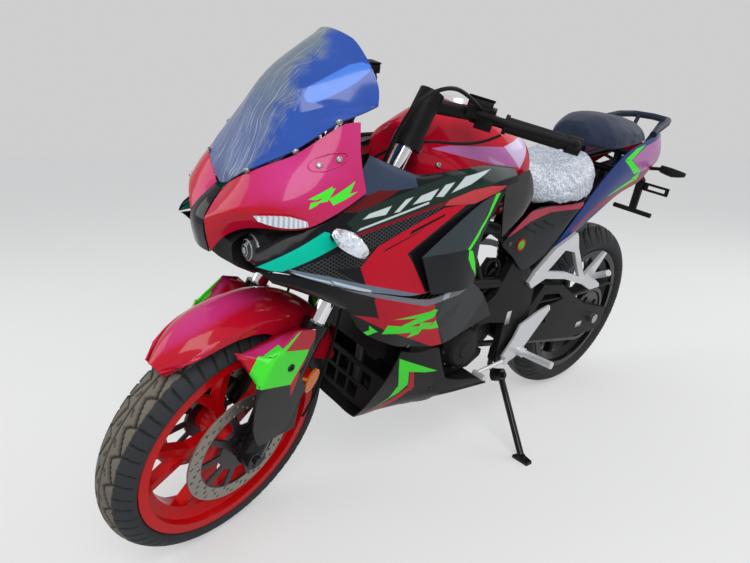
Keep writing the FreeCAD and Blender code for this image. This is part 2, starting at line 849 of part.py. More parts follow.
def fork_guards():
    """Plates outside the fork legs, each joined to the fender's skirt by a web."""
    y = FORK_HALF + size("slider_collar_radius") + size("seat_clearance")
    upper = [(1377, 566), (1352, 580), (1312, 608), (1270, 594), (1264, 536), (1300, 500),
             (1268, 440), (1312, 352), (1350, 334), (1388, 342), (1416, 398), (1407, 504)]
    shift, lift = WHEELBASE - DRAWN_WHEELBASE, FRONT_AXLE.z - 287
    outline = [(x + shift, z + lift) for x, z in upper]
    solids = []
    for side in SIDES:
        skirt = Vector(1424 + shift, side * 62, 560 + lift)
        corners = [skirt, Vector(outline[0][0], side * (y + 2), outline[0][1]),
                   Vector(outline[-1][0], side * (y + 2), outline[-1][1])]
        normal = (corners[1] - corners[0]).cross(corners[2] - corners[0]).normalize()
        web = Part.Face(polygon(corners)).extrude(normal * WALL)
        solids += [plate(outline, side * y, side * WALL), web]
    return solids


def front_fender():
    """Shell over the front tyre, with skirts down to the fork."""
    # angle round the axle, crown radius, half width, skirt radius
    stations = (
        (55, 322, 24, 318),
        (61, 331, 44, 314),
        (69, 340, 56, 309),
        (80, 346, 60, 306),
        (95, 349, 63, 296),
        (108, 349, 63.5, 262),
        (120, 346, 63.5, 236),
        (133, 343, 63, 240),
        (146, 338, 60, 262),
        (156, 333, 54, 296),
    )
    rows = []
    for angle, crown, half, skirt in stations:
        a = math.radians(angle)
        row = []
        for y, r in ((0, crown), (half * 0.55, crown - 6), (half * 0.93, crown - 24),
                     (half, (crown + skirt) / 2 - 8), (half + 1, skirt)):
            row.append((DRAWN_WHEELBASE + r * math.cos(a), y, FRONT_AXLE.z + r * math.sin(a)))
        rows.append(mirrored_row(row))
    shell = skin(rows, WALL, finer=1, inward=-1)
    posts = []
    for side in SIDES:
        leg = fork_point(268, side * FORK_HALF)
        post = rod(Vector(leg.x, side * 61, leg.z), leg, 10)
        posts.append(post.cut(rod(fork_point(200, side * FORK_HALF), fork_point(340, side * FORK_HALF),
                                  size("slider_radius") + size("seat_clearance"))))
    feature("front_fender", shell.multiFuse(posts + fork_guards()), "steered")


def calipers():
    """Front brake calipers behind the fork legs, open over the disc."""
    solids = []
    for side in SIDES:
        y = side * size("front_disc_offset")
        angle = math.radians(163)
        reach = size("front_disc_radius") - 20
        centre = FRONT_AXLE + Vector(reach * math.cos(angle), 0, reach * math.sin(angle))
        body = Part.makeBox(62, CALIPER_HALF * 2, 96, Vector(-31, -CALIPER_HALF, -48))
        body = body.makeFillet(9, body.Edges)
        body.rotate(Vector(0, 0, 0), Vector(0, 1, 0), -20)
        body.translate(centre + Vector(0, y, 0))
        slot = Part.makeCylinder(size("front_disc_radius") + 6, size("disc_thickness") + 6,
                                 Vector(FRONT_AXLE.x, y - size("disc_thickness") / 2 - 3,
                                        FRONT_AXLE.z), Vector(0, 1, 0))
        solids.append(body.cut(slot))
    feature("front_calipers", Part.makeCompound(solids), "steered")


def reflectors():
    """Oval amber reflectors on the fork sliders."""
    disc = Part.makeCylinder(16, 6, Vector(0, 0, 0), Vector(0, 1, 0))
    matrix = Matrix()
    matrix.scale(1.0, 1.0, 1.9)
    oval = disc.transformGeometry(matrix)
    oval.rotate(Vector(0, 0, 0), Vector(0, 1, 0), -size("rake_angle"))
    leg = fork_point(190, FORK_HALF)
    behind = leg + Vector(-math.cos(RAKE), 0, -math.sin(RAKE)) * 62
    oval.translate(Vector(behind.x, FORK_HALF + 14, behind.z))
    foot = rod(leg, Vector(behind.x, FORK_HALF + 17, behind.z), 4)
    slider = rod(fork_point(-22, FORK_HALF), fork_point(size("slider_top"), FORK_HALF),
                 size("slider_radius"))
    feature("fork_reflectors", both_sides(join([oval, foot]).cut(slider)), "steered")


# Chassis
def frame_rails(extra=0.0):
    """Left upper and lower rails, thicker by a clearance when they cut another piece."""
    r = size("frame_tube_radius")
    half = size("frame_inner")
    low = on_stem(size("lower_yoke_height") + size("yoke_thickness"))
    top = on_stem(size("upper_yoke_height"))
    upper = tube([Vector(top.x - 6, 24, top.z - 60), at(985, half + 1, 800), at(700, half + 5, 735),
                  at(520, half + 5, 640)], r + 2 + extra, 60)
    lower = tube([Vector(low.x - 26, 24, low.z + 14), at(1000, half + 2, 655),
                  at(760, half + 7, 590), at(560, half + 7, 560)], r + extra, 60)
    return upper, lower


def frame():
    """Twin rails from the head tube to the pivot plates, one node a side."""
    gap = size("bearing_gap")
    head_low = on_stem(size("lower_yoke_height") + size("yoke_thickness") + gap)
    head_top = on_stem(size("upper_yoke_height") - gap)
    r = size("frame_tube_radius")
    half = size("frame_inner")
    clear = size("seat_clearance")
    head = rod(head_low, head_top, size("head_tube_radius"))
    stem_hole = rod(head_low - STEER_AXIS * 5, head_top + STEER_AXIS * 5,
                    size("stem_radius") + size("joint_clearance"))
    beam_start = on_stem((size("lower_yoke_height") + size("upper_yoke_height")) / 2 + 20)
    beam = Part.makeBox(LAMP_BACK_X - clear - beam_start.x, 40, 22,
                        Vector(beam_start.x, -20, STAY_HEIGHT - 11))
    arms = []
    for side in SIDES:
        fork_end = at(1266, side * 20, STAY_HEIGHT)
        arms.append(tube([fork_end, at(1270, side * 92, 842), at(1276, side * 128, 905)], 8, 30))
        arms.append(rod(at(1266, side * 10, STAY_HEIGHT), fork_end, 8))
    stay = join([head, beam] + arms).cut(stem_hole)
    feature("head_tube", stay)
    pin = Vector(size("swingarm_pivot_x"), 0, size("swingarm_pivot_height"))
    bolt = size("frame_bolt_radius")
    for side, name in ((LEFT, "left"), (RIGHT, "right")):
        upper, lower = frame_rails()
        strut = rod(at(820, half, 762), at(700, half + 4, 578), 10)
        plate_outline = [(600, 640), (538, 658), (514, 600), (470, 556), (452, 400), (470, 312),
                         (520, 304), (530, 300), (566, 300), (574, 350), (575, 440), (640, 455), (700, 462),
                         (716, 486), (700, 512), (650, 540), (640, 560)]
        pivot_plate = plate(plate_outline, half, size("frame_plate"))
        tank_peg = rod(at(900, half - 50, 782), at(900, half, 782), TANK_PEG_RADIUS)
        side_frame = join([upper, lower, strut, pivot_plate, tank_peg])
        side_frame = side_frame.cut(rod(pin, pin + Vector(0, 200, 0), bolt))
        side_frame = side_frame.cut(rod(head_low - STEER_AXIS * 40, head_top + STEER_AXIS * 40,
                                        size("head_tube_radius") + clear))
        feature("frame_" + name, on_side(side_frame, side))
    reach = half + size("frame_plate") + 3
    return rod(pin - Vector(0, reach, 0), pin + Vector(0, reach, 0), bolt)


def subframe():
    """Seat rails that carry the tail, and the upper shock mount."""
    r = size("subframe_tube_radius")
    inner = size("frame_inner") - size("seat_clearance") - r
    rails = []
    for side in SIDES:
        rails.append(tube([Vector(505, side * inner, 636), Vector(380, side * 105, 740),
                           Vector(60, side * 86, 845), Vector(-150, side * 66, 880)], r, 40))
        rails.append(rod(Vector(482, side * inner, 560), Vector(120, side * 89, 822), r - 2))
    for x, y, z in ((380, 105, 740), (60, 86, 845), (-140, 66, 878), (492, inner, 648)):
        rails.append(rod(Vector(x, -y, z), Vector(x, y, z), r - 1))
    rails += clevis(SHOCK_TOP, Vector(492, 0, 648))
    feature("subframe", join(rails))


SHOCK_LOW = Vector(395, 0, 425)
SHOCK_TOP = Vector(455, 0, 690)
SHOCK_EYE_HALF = 14.0
SHOCK_BOLT_RADIUS = 6.0


def clevis(eye, root):
    """Two ears and a bolt that hold one eye of the shock."""
    inner = SHOCK_EYE_HALF + size("seat_clearance")
    ears = []
    run = (root - eye)
    across = Vector(run.z, 0, -run.x).normalize() * 15
    back = run.normalize() * -16
    for side in SIDES:
        corners = [eye + back + across * 0.6, eye + across, root + across, root - across,
                   eye - across, eye + back - across * 0.6]
        face = Part.Face(polygon([c + Vector(0, side * inner, 0) for c in corners]))
        ears.append(face.extrude(Vector(0, side * 8, 0)))
    reach = inner + 8
    ears.append(rod(eye - Vector(0, reach, 0), eye + Vector(0, reach, 0), SHOCK_BOLT_RADIUS))
    return ears


def front_sprocket_place():
    """Centre of the drive sprocket, in the plane of the wheels."""
    return Vector(size("front_sprocket_x"), 0, size("swingarm_pivot_height") + 24)


CYLINDER_LEAN = 38.0
CYLINDER_BASE = (785.0, 0.0, 455.0)
PORT_RISE = 177.0
HEAD_HALF = 80.0


def cylinder_frame():
    """Place of the leaning cylinder: its own Z runs along the bore."""
    return Placement(at(*CYLINDER_BASE), Rotation(Vector(0, 1, 0), CYLINDER_LEAN))


def engine():
    """Crankcase, inclined cylinder with fins, and the mounts to the frame."""
    half = size("engine_width") / 2
    case = plate([(590, 312), (640, 286), (860, 286), (905, 330), (900, 420), (820, 500),
                  (660, 500), (590, 420)], -half, 2 * half)
    case = case.makeFillet(14, [e for e in case.Edges if abs(e.Length - 2 * half) < 1])
    cylinder = []
    for k in range(7):
        fin = Part.makeBox(150, 150, 7, Vector(-75, -75, 30 + k * 15))
        cylinder.append(fin)
    cylinder.append(Part.makeBox(128, 128, 170, Vector(-64, -64, -20)))
    cylinder.append(Part.makeBox(HEAD_HALF * 2, 158, 78, Vector(-HEAD_HALF, -79, 138)))
    barrel = join(cylinder)
    barrel.Placement = cylinder_frame()
    reach = size("frame_inner") - size("seat_clearance")
    mount = rod(Vector(692, -reach, 487), Vector(692, reach, 487), 13)
    front = front_sprocket_place()
    room = rod(front + Vector(0, size("sprocket_offset") - 24, 0), front + Vector(0, 200, 0),
               size("front_sprocket_radius") + size("chain_height") + 6)
    feature("engine_block", join([case, barrel, mount]).cut(room))


def engine_covers():
    """Round generator cover on the left, clutch cover on the right."""
    base = size("engine_width") / 2
    covers = []
    for name, side, centre in (("generator_cover", LEFT, (724, 389)),
                               ("clutch_cover", RIGHT, (742, 380))):
        radius = size("engine_cover_radius") + (14 if side == RIGHT else 0)
        body = revolve(name, [(0.0, 0), (radius + 8, 0), (radius + 8, 16), (radius, 26),
                              (radius - 6, 36), (radius - 14, 42), (26, 44), (22, 47), (0.0, 47)])
        turn = Rotation(Vector(1, 0, 0), -90 * side)
        local = Placement(Vector(along(centre[0]), side * (base + size("seat_clearance") / 3),
                                 centre[1]), turn)
        body.Placement = local
        covers.append(body)
    both = doc.addObject("Part::Compound", "engine_covers")
    both.Links = covers
    keep(both, "engine_covers")


def radiator():
    """Radiator core between two side tanks."""
    width = size("radiator_width")
    depth = size("radiator_depth")
    height = size("radiator_height")
    core = Part.makeBox(depth - 8, width - 60, height - 10, Vector(4, -width / 2 + 30, 5))
    tanks = [Part.makeBox(depth, 30, height, Vector(0, y, 0))
             for y in (-width / 2, width / 2 - 30)]
    solid = join([core] + tanks)
    solid.Placement = Placement(at(1018, 0, 440), Rotation(Vector(0, 1, 0), -6))
    _, lower_rail = frame_rails(size("seat_clearance"))
    pegs = []
    for side in SIDES:
        peg = rod(at(1013, side * 106, 610), at(1013, side * 106, 668), 8)
        pieces_left = peg.cut(on_side(lower_rail, side)).Solids
        pegs.append(min(pieces_left, key=lambda part: part.CenterOfMass.z))
    feature("radiator", join([solid] + pegs))


def exhaust():
    """Header pipe under the engine and a silencer on the right."""
    r = size("header_radius")
    port = cylinder_frame().multVec(Vector(HEAD_HALF + size("seat_clearance"), -5, PORT_RISE))
    out = cylinder_frame().Rotation.multVec(Vector(1, 0, 0))
    start = Vector(440, -175, 292)
    aim = (Vector(60, -200, 440) - start).normalize()
    knee = port + out * 20
    header = tube([port, knee, Vector(knee.x, -5, 252), at(690, -5, 263), Vector(560, -140, 276),
                   start - aim * 45, start], r, 38)
    feature("exhaust_header", header)
    muffler = new_body("muffler_body")
    sketch = new_sketch(muffler, "XZ_Plane", "muffler_outline")
    length = size("muffler_length")
    radius = size("muffler_radius")
    draw(sketch, [(0, 0), (r + 2, 0), (radius, 50), (radius, length - 22), (radius - 12, length),
                  (20, length), (20, length - 30), (0, length - 30)])
    turned = muffler.newObject("PartDesign::Revolution", "muffler_turned")
    turned.Profile = sketch
    turned.ReferenceAxis = (sketch, ["V_Axis"])
    turned.Angle = 360
    doc.recompute()
    can = muffler.Shape.copy()
    can.Placement = Placement(start + aim * size("seat_clearance"),
                              Rotation(Vector(0, 0, 1), aim))
    hanger_x = 176.0
    share = (hanger_x - start.x) / aim.x
    centre = start + aim * share
    peg_end = BRACKET_Y + BRACKET_THICK + size("seat_clearance")
    hanger = rod(Vector(hanger_x, centre.y, centre.z + radius - 4),
                 Vector(hanger_x, centre.y, 500), 8)
    ear = rod(Vector(hanger_x, centre.y, 500), Vector(hanger_x, -peg_end, 500), 10)
    feature("muffler", join([can, hanger, ear, Part.makeSphere(10, Vector(hanger_x, centre.y, 500))]))


def bobbin_mouth(side):
    """Where a paddock-stand bobbin screws into the arm's outer face."""
    return Vector(size("bobbin_x"), side * size("swingarm_width") / 2, size("bobbin_height"))


ARM_DRAWN_HEIGHT = 361.0


def on_arm(x, z):
    """A point of the swingarm in side view, carried up or down with its pivot."""
    rise = size("swingarm_pivot_height") - ARM_DRAWN_HEIGHT
    return x, z + rise * max(x, 0) / size("swingarm_pivot_x")


def swingarm():
    """Box-section arms with a triangulated brace, joined behind the pivot."""
    outer = size("swingarm_width") / 2
    thick = size("swingarm_plate")
    pivot = (size("swingarm_pivot_x"), size("swingarm_pivot_height"))
    drawn = [(447, 412), (372, 512), (264, 492), (92, 392), (-30, 352), (-92, 336),
             (-92, 268), (-40, 252), (120, 262), (400, 318)]
    outline = [(pivot[0] + 26, pivot[1] - 8), (pivot[0] + 10, pivot[1] + 34)]
    outline += [on_arm(*p) for p in drawn] + [(pivot[0] + 8, pivot[1] - 34)]
    window = [on_arm(*p) for p in ((392, 420), (356, 476), (272, 464), (236, 438))]
    slot = [on_arm(*p) for p in ((372, 398), (318, 392), (306, 366), (352, 372))]
    arms = []
    for side in SIDES:
        arm = plate(outline, side * (outer - thick), side * thick, holes=(window, slot))
        arms.append(arm)
    cross_x, cross_z = on_arm(352, 366)
    cross = rod(Vector(cross_x, -outer + 6, cross_z), Vector(cross_x, outer - 6, cross_z), 26)
    barrel = rod(Vector(pivot[0], -outer, pivot[1]), Vector(pivot[0], outer, pivot[1]), 24)
    cross_centre = Vector(cross_x, 0, cross_z)
    solid = join(arms + [cross, barrel] + clevis(SHOCK_LOW, cross_centre))
    pin = Vector(pivot[0], 0, pivot[1])
    solid = solid.cut(rod(pin - Vector(0, 200, 0), pin + Vector(0, 200, 0),
                          size("frame_bolt_radius") + size("joint_clearance") * 2))
    axle = rod(REAR_AXLE - Vector(0, 200, 0), REAR_AXLE + Vector(0, 200, 0),
               size("axle_radius") + size("joint_clearance"))
    solid = solid.cut(axle)
    for side in SIDES:
        mouth = bobbin_mouth(side)
        solid = solid.cut(rod(mouth, mouth - Vector(0, side * size("bobbin_thread_depth"), 0),
                              size("bobbin_thread_radius")))
    feature("swingarm", solid.fuse(chain_guard()))
    reach = outer + 12
    bolt = rod(REAR_AXLE - Vector(0, reach, 0), REAR_AXLE + Vector(0, reach, 0),
               size("axle_radius"))
    nuts = [rod(REAR_AXLE + Vector(0, side * (outer + size("seat_clearance")), 0),
                REAR_AXLE + Vector(0, side * (reach + 4), 0), 17) for side in SIDES]
    return join([bolt] + nuts)


def chain():
    """Chain as one closed band round both sprockets."""
    rear = REAR_AXLE
    front = front_sprocket_place()
    rear_in = size("sprocket_radius") + 0.6
    front_in = size("front_sprocket_radius") + 0.6
    height = size("chain_height")
    y = size("sprocket_offset") - size("chain_width") / 2

    def loop(extra):
        big = rear_in + extra
        small = front_in + extra
        run = front - rear
        tilt = math.atan2(run.z, run.x)
        lean = math.acos((big - small) / run.Length)
        corners = []
        for centre, r in ((rear, big), (front, small)):
            for turn in (lean, -lean):
                a = tilt + turn
                corners.append(Vector(centre.x + r * math.cos(a), y, centre.z + r * math.sin(a)))
        back = Vector(rear.x - big * math.cos(tilt), y, rear.z - big * math.sin(tilt))
        nose = Vector(front.x + small * math.cos(tilt), y, front.z + small * math.sin(tilt))
        return Part.Wire([
            Part.Arc(corners[1], back, corners[0]).toShape(),
            Part.makeLine(corners[0], corners[2]),
            Part.Arc(corners[2], nose, corners[3]).toShape(),
            Part.makeLine(corners[3], corners[1]),
        ])

    face = Part.Face(loop(height)).cut(Part.Face(loop(0))).Faces[0]
    feature("chain", face.extrude(Vector(0, size("chain_width"), 0)))
    hub = rod(front + Vector(0, y + 3, 0), front + Vector(0, y + size("chain_width") - 3, 0),
              size("front_sprocket_radius"))
    wall = size("sprocket_offset") - 24 + size("seat_clearance")
    shaft = rod(front + Vector(0, wall, 0), front + Vector(0, y + size("chain_width"), 0), 12)
    feature("drive_sprocket", join([hub, shaft]))


def chain_guard():
    """Long lip over the chain's upper run."""
    y = size("sprocket_offset") - 8
    drawn = [(430, 450), (424, 456), (200, 441), (-60, 444), (-100, 426), (-104, 417),
             (-60, 434), (200, 433)]
    outline = [on_arm(*p) for p in drawn]
    return plate(outline, y, size("swingarm_width") / 2 - y - 4)


def shock():
    """Rear spring and damper between swingarm and subframe."""
    run = (SHOCK_TOP - SHOCK_LOW).normalize()
    rings = [rod(SHOCK_LOW + run * (55 + k * 20), SHOCK_LOW + run * (66 + k * 20), 34)
             for k in range(8)]
    core = rod(SHOCK_LOW + run * 32, SHOCK_LOW + run * 215, 24)
    eyes = [rod(p - Vector(0, SHOCK_EYE_HALF, 0), p + Vector(0, SHOCK_EYE_HALF, 0), 16)
            for p in (SHOCK_LOW, SHOCK_TOP)]
    neck = rod(SHOCK_LOW, SHOCK_TOP, 10)
    solid = join(rings + [core, neck] + eyes)
    for p in (SHOCK_LOW, SHOCK_TOP):
        solid = solid.cut(rod(p - Vector(0, 40, 0), p + Vector(0, 40, 0),
                              SHOCK_BOLT_RADIUS + size("joint_clearance")))
    feature("rear_shock", solid)


STAND_AXIS = Vector(-0.21, 0.887, 0.413).normalize()


def side_stand():
    """Tube from the pivot lug to a foot pad that lies flat on the ground."""
    pivot = Vector(size("stand_pivot_x"), size("stand_pivot_out"), size("stand_pivot_height"))
    ground = Vector(size("stand_foot_forward"), size("stand_foot_out"), 0)
    foot = STANCE.inverse().multVec(ground)
    to_bike = STANCE.inverse().Rotation
    up = to_bike.multVec(Vector(0, 0, 1))
    outward = to_bike.multVec(Vector(0.25, 0.97, 0)).normalize()
    ahead = to_bike.multVec(Vector(0.97, -0.25, 0)).normalize()
    r = size("stand_tube_radius")
    half = size("stand_lug_half")
    bolt = size("stand_bolt_radius")
    fold = STAND_AXIS
    run = (pivot - foot).normalize()
    lug = rod(pivot - fold * half, pivot + fold * half, 20)
    lug = lug.cut(rod(pivot - fold * 30, pivot + fold * 30, bolt + size("joint_clearance")))
    leg = rod(foot + up * 13, pivot - run * 19, r)
    corners = [foot - outward * 18 - ahead * 17, foot + outward * 34 - ahead * 12,
               foot + outward * 38 + ahead * 10, foot - outward * 18 + ahead * 17]
    sole = Part.Face(polygon(corners)).extrude(up * 9)
    ankle = rod(foot + up * 7, foot + up * 14, r + 3)
    feature("side_stand", lug.multiFuse([leg, sole, ankle]))
    gap = half + size("seat_clearance")
    inboard = pivot - fold * gap
    ear = rod(inboard - fold * 18, inboard, 20)
    head = rod(pivot + fold * gap, pivot + fold * (gap + 7), 9)
    pin = rod(inboard - fold * 6, pivot + fold * (gap + 3), bolt)
    pad_out = size("frame_inner") - size("seat_clearance")
    pad_box = Part.makeBox(34, 9, 40, Vector(533, pad_out - 9, 302))
    rise = Vector(0.4, 0, 0.9)
    rise = (rise - fold * rise.dot(fold)).normalize()
    root = inboard - fold * 12
    arm = tube([root, root + rise * 44, Vector(550, pad_out - 8, 322)], 8, 20)
    feature("stand_bracket", ear.multiFuse([head, pin, pad_box, arm]))


def footrests():
    """Rider's pegs with heel plates, one node a side, and the pedals."""
    y = size("frame_inner") + size("frame_plate") + 10
    heel = plate([(566, 330), (540, 300), (500, 310), (470, 331), (371, 447), (380, 462),
                  (430, 452), (511, 424), (530, 380)], y, 7)
    arm = rod(Vector(487, BRACKET_Y, 333), Vector(487, y + 26, 333), 15)
    peg = rod(Vector(487, y + 26, 333), Vector(482, y + 26 + size("peg_length"), 341),
              size("peg_radius"))
    rests = both_sides(join([heel, arm, peg]))
    gear = join([rod(Vector(560, y + 14, 322), Vector(690, y + 16, 318), 6),
                 rod(Vector(690, y + 8, 318), Vector(690, y + 48, 320), 8),
                 rod(Vector(562, y + 7.3, 322), Vector(562, y + 22, 322), 11)])
    brake = join([rod(Vector(560, -y - 14, 322), Vector(690, -y - 16, 322), 7),
                  rod(Vector(690, -y - 8, 322), Vector(690, -y - 56, 324), 9),
                  rod(Vector(562, -y - 7.3, 322), Vector(562, -y - 22, 322), 12)])
    feature("footrests", Part.makeCompound([rests, gear, brake]))


def passenger_rests():
    """Pale cast brackets with spiked arms for the passenger's pegs."""
    y = BRACKET_Y
    outline = [(520, 560), (498, 590), (424, 652), (330, 690), (318, 676), (300, 640),
               (214, 530), (120, 600), (108, 594), (160, 520), (95, 482), (92, 470),
               (150, 470), (210, 500), (330, 540), (440, 560), (500, 540)]
    hole_a = [(440, 582), (330, 562), (246, 534), (316, 626), (372, 640)]
    bracket = plate(outline, y, BRACKET_THICK, holes=(hole_a,))
    peg = rod(Vector(150, y + 12, 520), Vector(182, y + 70, 560), 10)
    feature("passenger_rests", both_sides(join([bracket, peg])))


# Bodywork
def tank():
    """Fuel tank: closed body with knee recesses."""
    loops = [mirrored_loop(h) for h in (
        [(978, 0, 972), (978, 40, 962), (976, 78, 930), (972, 84, 880), (972, 60, 850),
         (972, 0, 850)],
        [(900, 0, 1020), (900, 50, 1000), (905, 90, 940), (900, 120, 880), (900, 90, 800),
         (900, 0, 800)],
        [(800, 0, 1032), (800, 62, 1010), (800, 106, 942), (795, 140, 874), (790, 110, 780),
         (790, 0, 780)],
        [(700, 0, 1016), (700, 84, 996), (700, 132, 922), (700, 140, 850), (700, 110, 765),
         (700, 0, 765)],
        [(620, 0, 970), (618, 84, 958), (618, 126, 905), (618, 128, 840), (618, 100, 765),
         (618, 0, 765)],
        [(585, 0, 905), (585, 60, 900), (585, 96, 870), (585, 98, 820), (585, 70, 770),
         (585, 0, 770)],
    )]
    body = hull(loops)
    floor = at(790, 0, 1024)
    body = body.cut(rod(floor, floor + Vector(0, 0, 60), 44 + size("seat_clearance")))
    for side in SIDES:
        body = body.cut(rod(at(900, side * 60, 782), at(900, side * 150, 782),
                            TANK_PEG_RADIUS + size("seat_clearance")))
        body = body.cut(rod(at(690, side * TRIM_SEAT, 840), at(690, side * 200, 840), 12))
    feature("fuel_tank", body)
    cap = Part.makeCone(44, 38, 12, floor + Vector(0, 0, size("seat_clearance")), Vector(0, 0, 1))
    feature("fuel_cap", cap)


TRIM_SEAT = 126.0


def seats():
    """Rider's and passenger's seats."""
    loops = [mirrored_loop(h) for h in (
        [(578, 0, 900), (578, 50, 895), (578, 86, 850), (578, 84, 795), (578, 0, 795)],
        [(500, 0, 868), (500, 70, 868), (500, 134, 830), (500, 136, 790), (500, 0, 785)],
        [(400, 0, 862), (400, 80, 866), (400, 140, 832), (400, 138, 782), (400, 0, 776)],
        [(310, 0, 880), (310, 75, 884), (310, 128, 850), (310, 126, 790), (310, 0, 790)],
        [(262, 0, 912), (258, 60, 908), (256, 100, 880), (256, 98, 830), (262, 0, 830)],
    )]
    feature("rider_seat", hull(loops).multiFuse(seat_posts(380, 70, 740, 800)))
    loops = [mirrored_loop(h) for h in (
        [(262, 0, 978), (256, 40, 974), (250, 70, 950), (248, 72, 925), (250, 0, 925)],
        [(190, 0, 1004), (188, 62, 998), (184, 104, 955), (180, 106, 920), (184, 0, 915)],
        [(90, 0, 1006), (88, 66, 1000), (84, 112, 962), (82, 112, 932), (84, 0, 925)],
        [(0, 0, 996), (-2, 60, 990), (-8, 102, 960), (-10, 100, 942), (-8, 0, 940)],
        [(-52, 0, 972), (-52, 40, 970), (-50, 66, 962), (-50, 66, 952), (-50, 0, 950)],
    )]
    feature("pillion_seat", hull(loops).multiFuse(seat_posts(60, 58, 845, 950)))


def seat_posts(x, y, rail_z, top_z):
    """Rubber feet under a seat that stand on the cross tube or rail below."""
    r = size("subframe_tube_radius") - 1
    low = rail_z + r + size("seat_clearance")
    return [rod(Vector(x, side * y, low), Vector(x, side * y, top_z), 9)
            for side in SIDES]


def windscreen():
    """Double-curved screen with a low front tip."""
    halves = (
        [(1393, 0, 860), (1392, 12, 863), (1391, 24, 867)],
        [(1389, 0, 893), (1388, 40, 895), (1382, 75, 903)],
        [(1370, 0, 950), (1356, 65, 945), (1318, 126, 947)],
        [(1344, 0, 1005), (1310, 80, 996), (1250, 151, 1003)],
        [(1302, 0, 1062), (1262, 84, 1050), (1160, 146, 1030)],
        [(1250, 0, 1106), (1215, 70, 1096), (1155, 118, 1084)],
        [(1185, 0, 1148), (1180, 35, 1144), (1166, 64, 1134)],
    )
    feature("windscreen", skin([mirrored_row(h) for h in halves], WALL, inward=1))


def nose():
    """Two nose halves and the dark strip between them."""
    rows = (
        [(1394, 15, 856), (1438, 29, 803), (1425, 32, 737)],
        [(1389, 40, 876), (1428, 60, 820), (1412, 58, 777)],
        [(1381, 76, 897), (1408, 105, 840), (1388, 103, 806)],
        [(1350, 104, 921), (1370, 150, 862), (1358, 158, 817)],
        [(1312, 127, 942), (1322, 172, 885), (1318, 186, 824)],
        [(1246, 152, 996), (1252, 180, 922), (1255, 196, 855)],
        [(1206, 158, 1003), (1212, 178, 945), (1202, 194, 884)],
    )
    feature("nose_halves", both_sides(skin(rows, WALL, inward=1)))
    strip = [mirrored_row(h) for h in (
        [(1397, 0, 852), (1396, 13, 851)],
        [(1442, 0, 803), (1438, 27, 802)],
        [(1430, 0, 738), (1425, 30, 738)],
    )]
    feature("nose_centre_strip", skin(strip, WALL, inward=1))


def lamp_mask():
    """Dark housing under the nose with round lamp wells, and the lamps."""
    loops = [mirrored_loop(h) for h in (
        [(1404, 0, 770), (1404, 50, 768), (1402, 84, 762), (1400, 84, 738), (1402, 40, 722),
         (1404, 0, 722)],
        [(1370, 0, 800), (1370, 90, 798), (1362, 140, 790), (1360, 142, 745), (1366, 90, 708),
         (1368, 0, 706)],
        [(1290, 0, 810), (1290, 100, 808), (1290, 160, 798), (1290, 158, 740), (1290, 90, 702),
         (1290, 0, 702)],
    )]
    body = hull(loops)
    wells = []
    lamps = []
    for side in SIDES:
        aim = Vector(0.93, side * 0.30, -0.22).normalize()
        centre = at(1352, side * 92, 760)
        wells.append(rod(centre, centre + aim * 90, 36))
        lens = Part.makeSphere(33, centre + aim * 6)
        lens = lens.common(rod(centre + aim, centre + aim * 60, 34))
        lamps.append(lens)
    for well in wells:
        body = body.cut(well)
    feature("lamp_mask", body)
    return lamps


def running_lights():
    """Clear slim lenses along the nose's lower edge."""
    rows = (
        [(1394, 132, 838), (1391, 140, 830)],
        [(1374, 156, 844), (1366, 163, 826)],
        [(1348, 176, 846), (1342, 181, 827)],
        [(1322, 187, 838), (1321, 190, 830)],
    )
    shell = skin(rows, 4, inward=-1)
    return both_sides(shell)


def side_panels():
    """Upper side fairing, knee panel and lower fairing, one node each a side."""
    upper = (
        [(1396, 147, 783), (1400, 152, 778), (1404, 160, 765), (1406, 164, 754)],
        [(1326, 170, 820), (1330, 180, 814), (1338, 194, 780), (1342, 198, 744)],
        [(1240, 182, 852), (1243, 190, 846), (1250, 210, 790), (1245, 222, 710)],
        [(1166, 149, 940), (1150, 188, 874), (1150, 215, 790), (1130, 224, 678)],
        [(1074, 162, 902), (1040, 186, 894), (1035, 214, 810), (1015, 224, 660)],
        [(934, 172, 911), (930, 182, 908), (925, 208, 855), (920, 216, 790)],
        [(831, 167, 916), (830, 176, 914), (825, 198, 888), (815, 204, 866)],
        [(743, 164, 907), (742, 172, 906), (738, 184, 890), (735, 188, 876)],
    )
    knee = (
        [(1068, 236, 752), (1045, 238, 705), (1019, 234, 659)],
        [(965, 226, 812), (965, 240, 745), (935, 238, 653)],
        [(880, 214, 850), (890, 230, 765), (880, 228, 651)],
        [(806, 210, 868), (864, 212, 753), (849, 212, 669)],
    )
    lower = (
        [(1400, 168, 748), (1385, 174, 735), (1372, 170, 722)],
        [(1330, 196, 738), (1325, 195, 716), (1314, 180, 697)],
        [(1245, 221, 706), (1235, 210, 676), (1213, 198, 645)],
        [(1170, 223, 686), (1160, 212, 645), (1168, 192, 584)],
        [(1090, 223, 661), (1080, 210, 590), (1062, 190, 520)],
        [(1002, 220, 636), (990, 204, 565), (1000, 186, 500)],
        [(920, 210, 640), (905, 198, 560), (899, 190, 478)],
        [(848, 199, 645), (800, 186, 585), (800, 180, 492)],
        [(770, 186, 592), (725, 176, 545), (693, 170, 506)],
    )
    half = size("frame_inner")
    seat = size("frame_tube_radius") + size("seat_clearance")
    feature("side_fairings", both_sides(skin(upper, WALL, inward=1)))
    post = boss(lower, along(800), 600.5, half + 6 + seat, 6)
    feature("lower_fairings", both_sides(skin(lower, WALL, inward=1).fuse(post)))
    post = boss(knee, along(880), 776, half + 2.5 + seat + 2, 6)
    feature("knee_panels", both_sides(skin(knee, WALL, inward=1).fuse(post)))


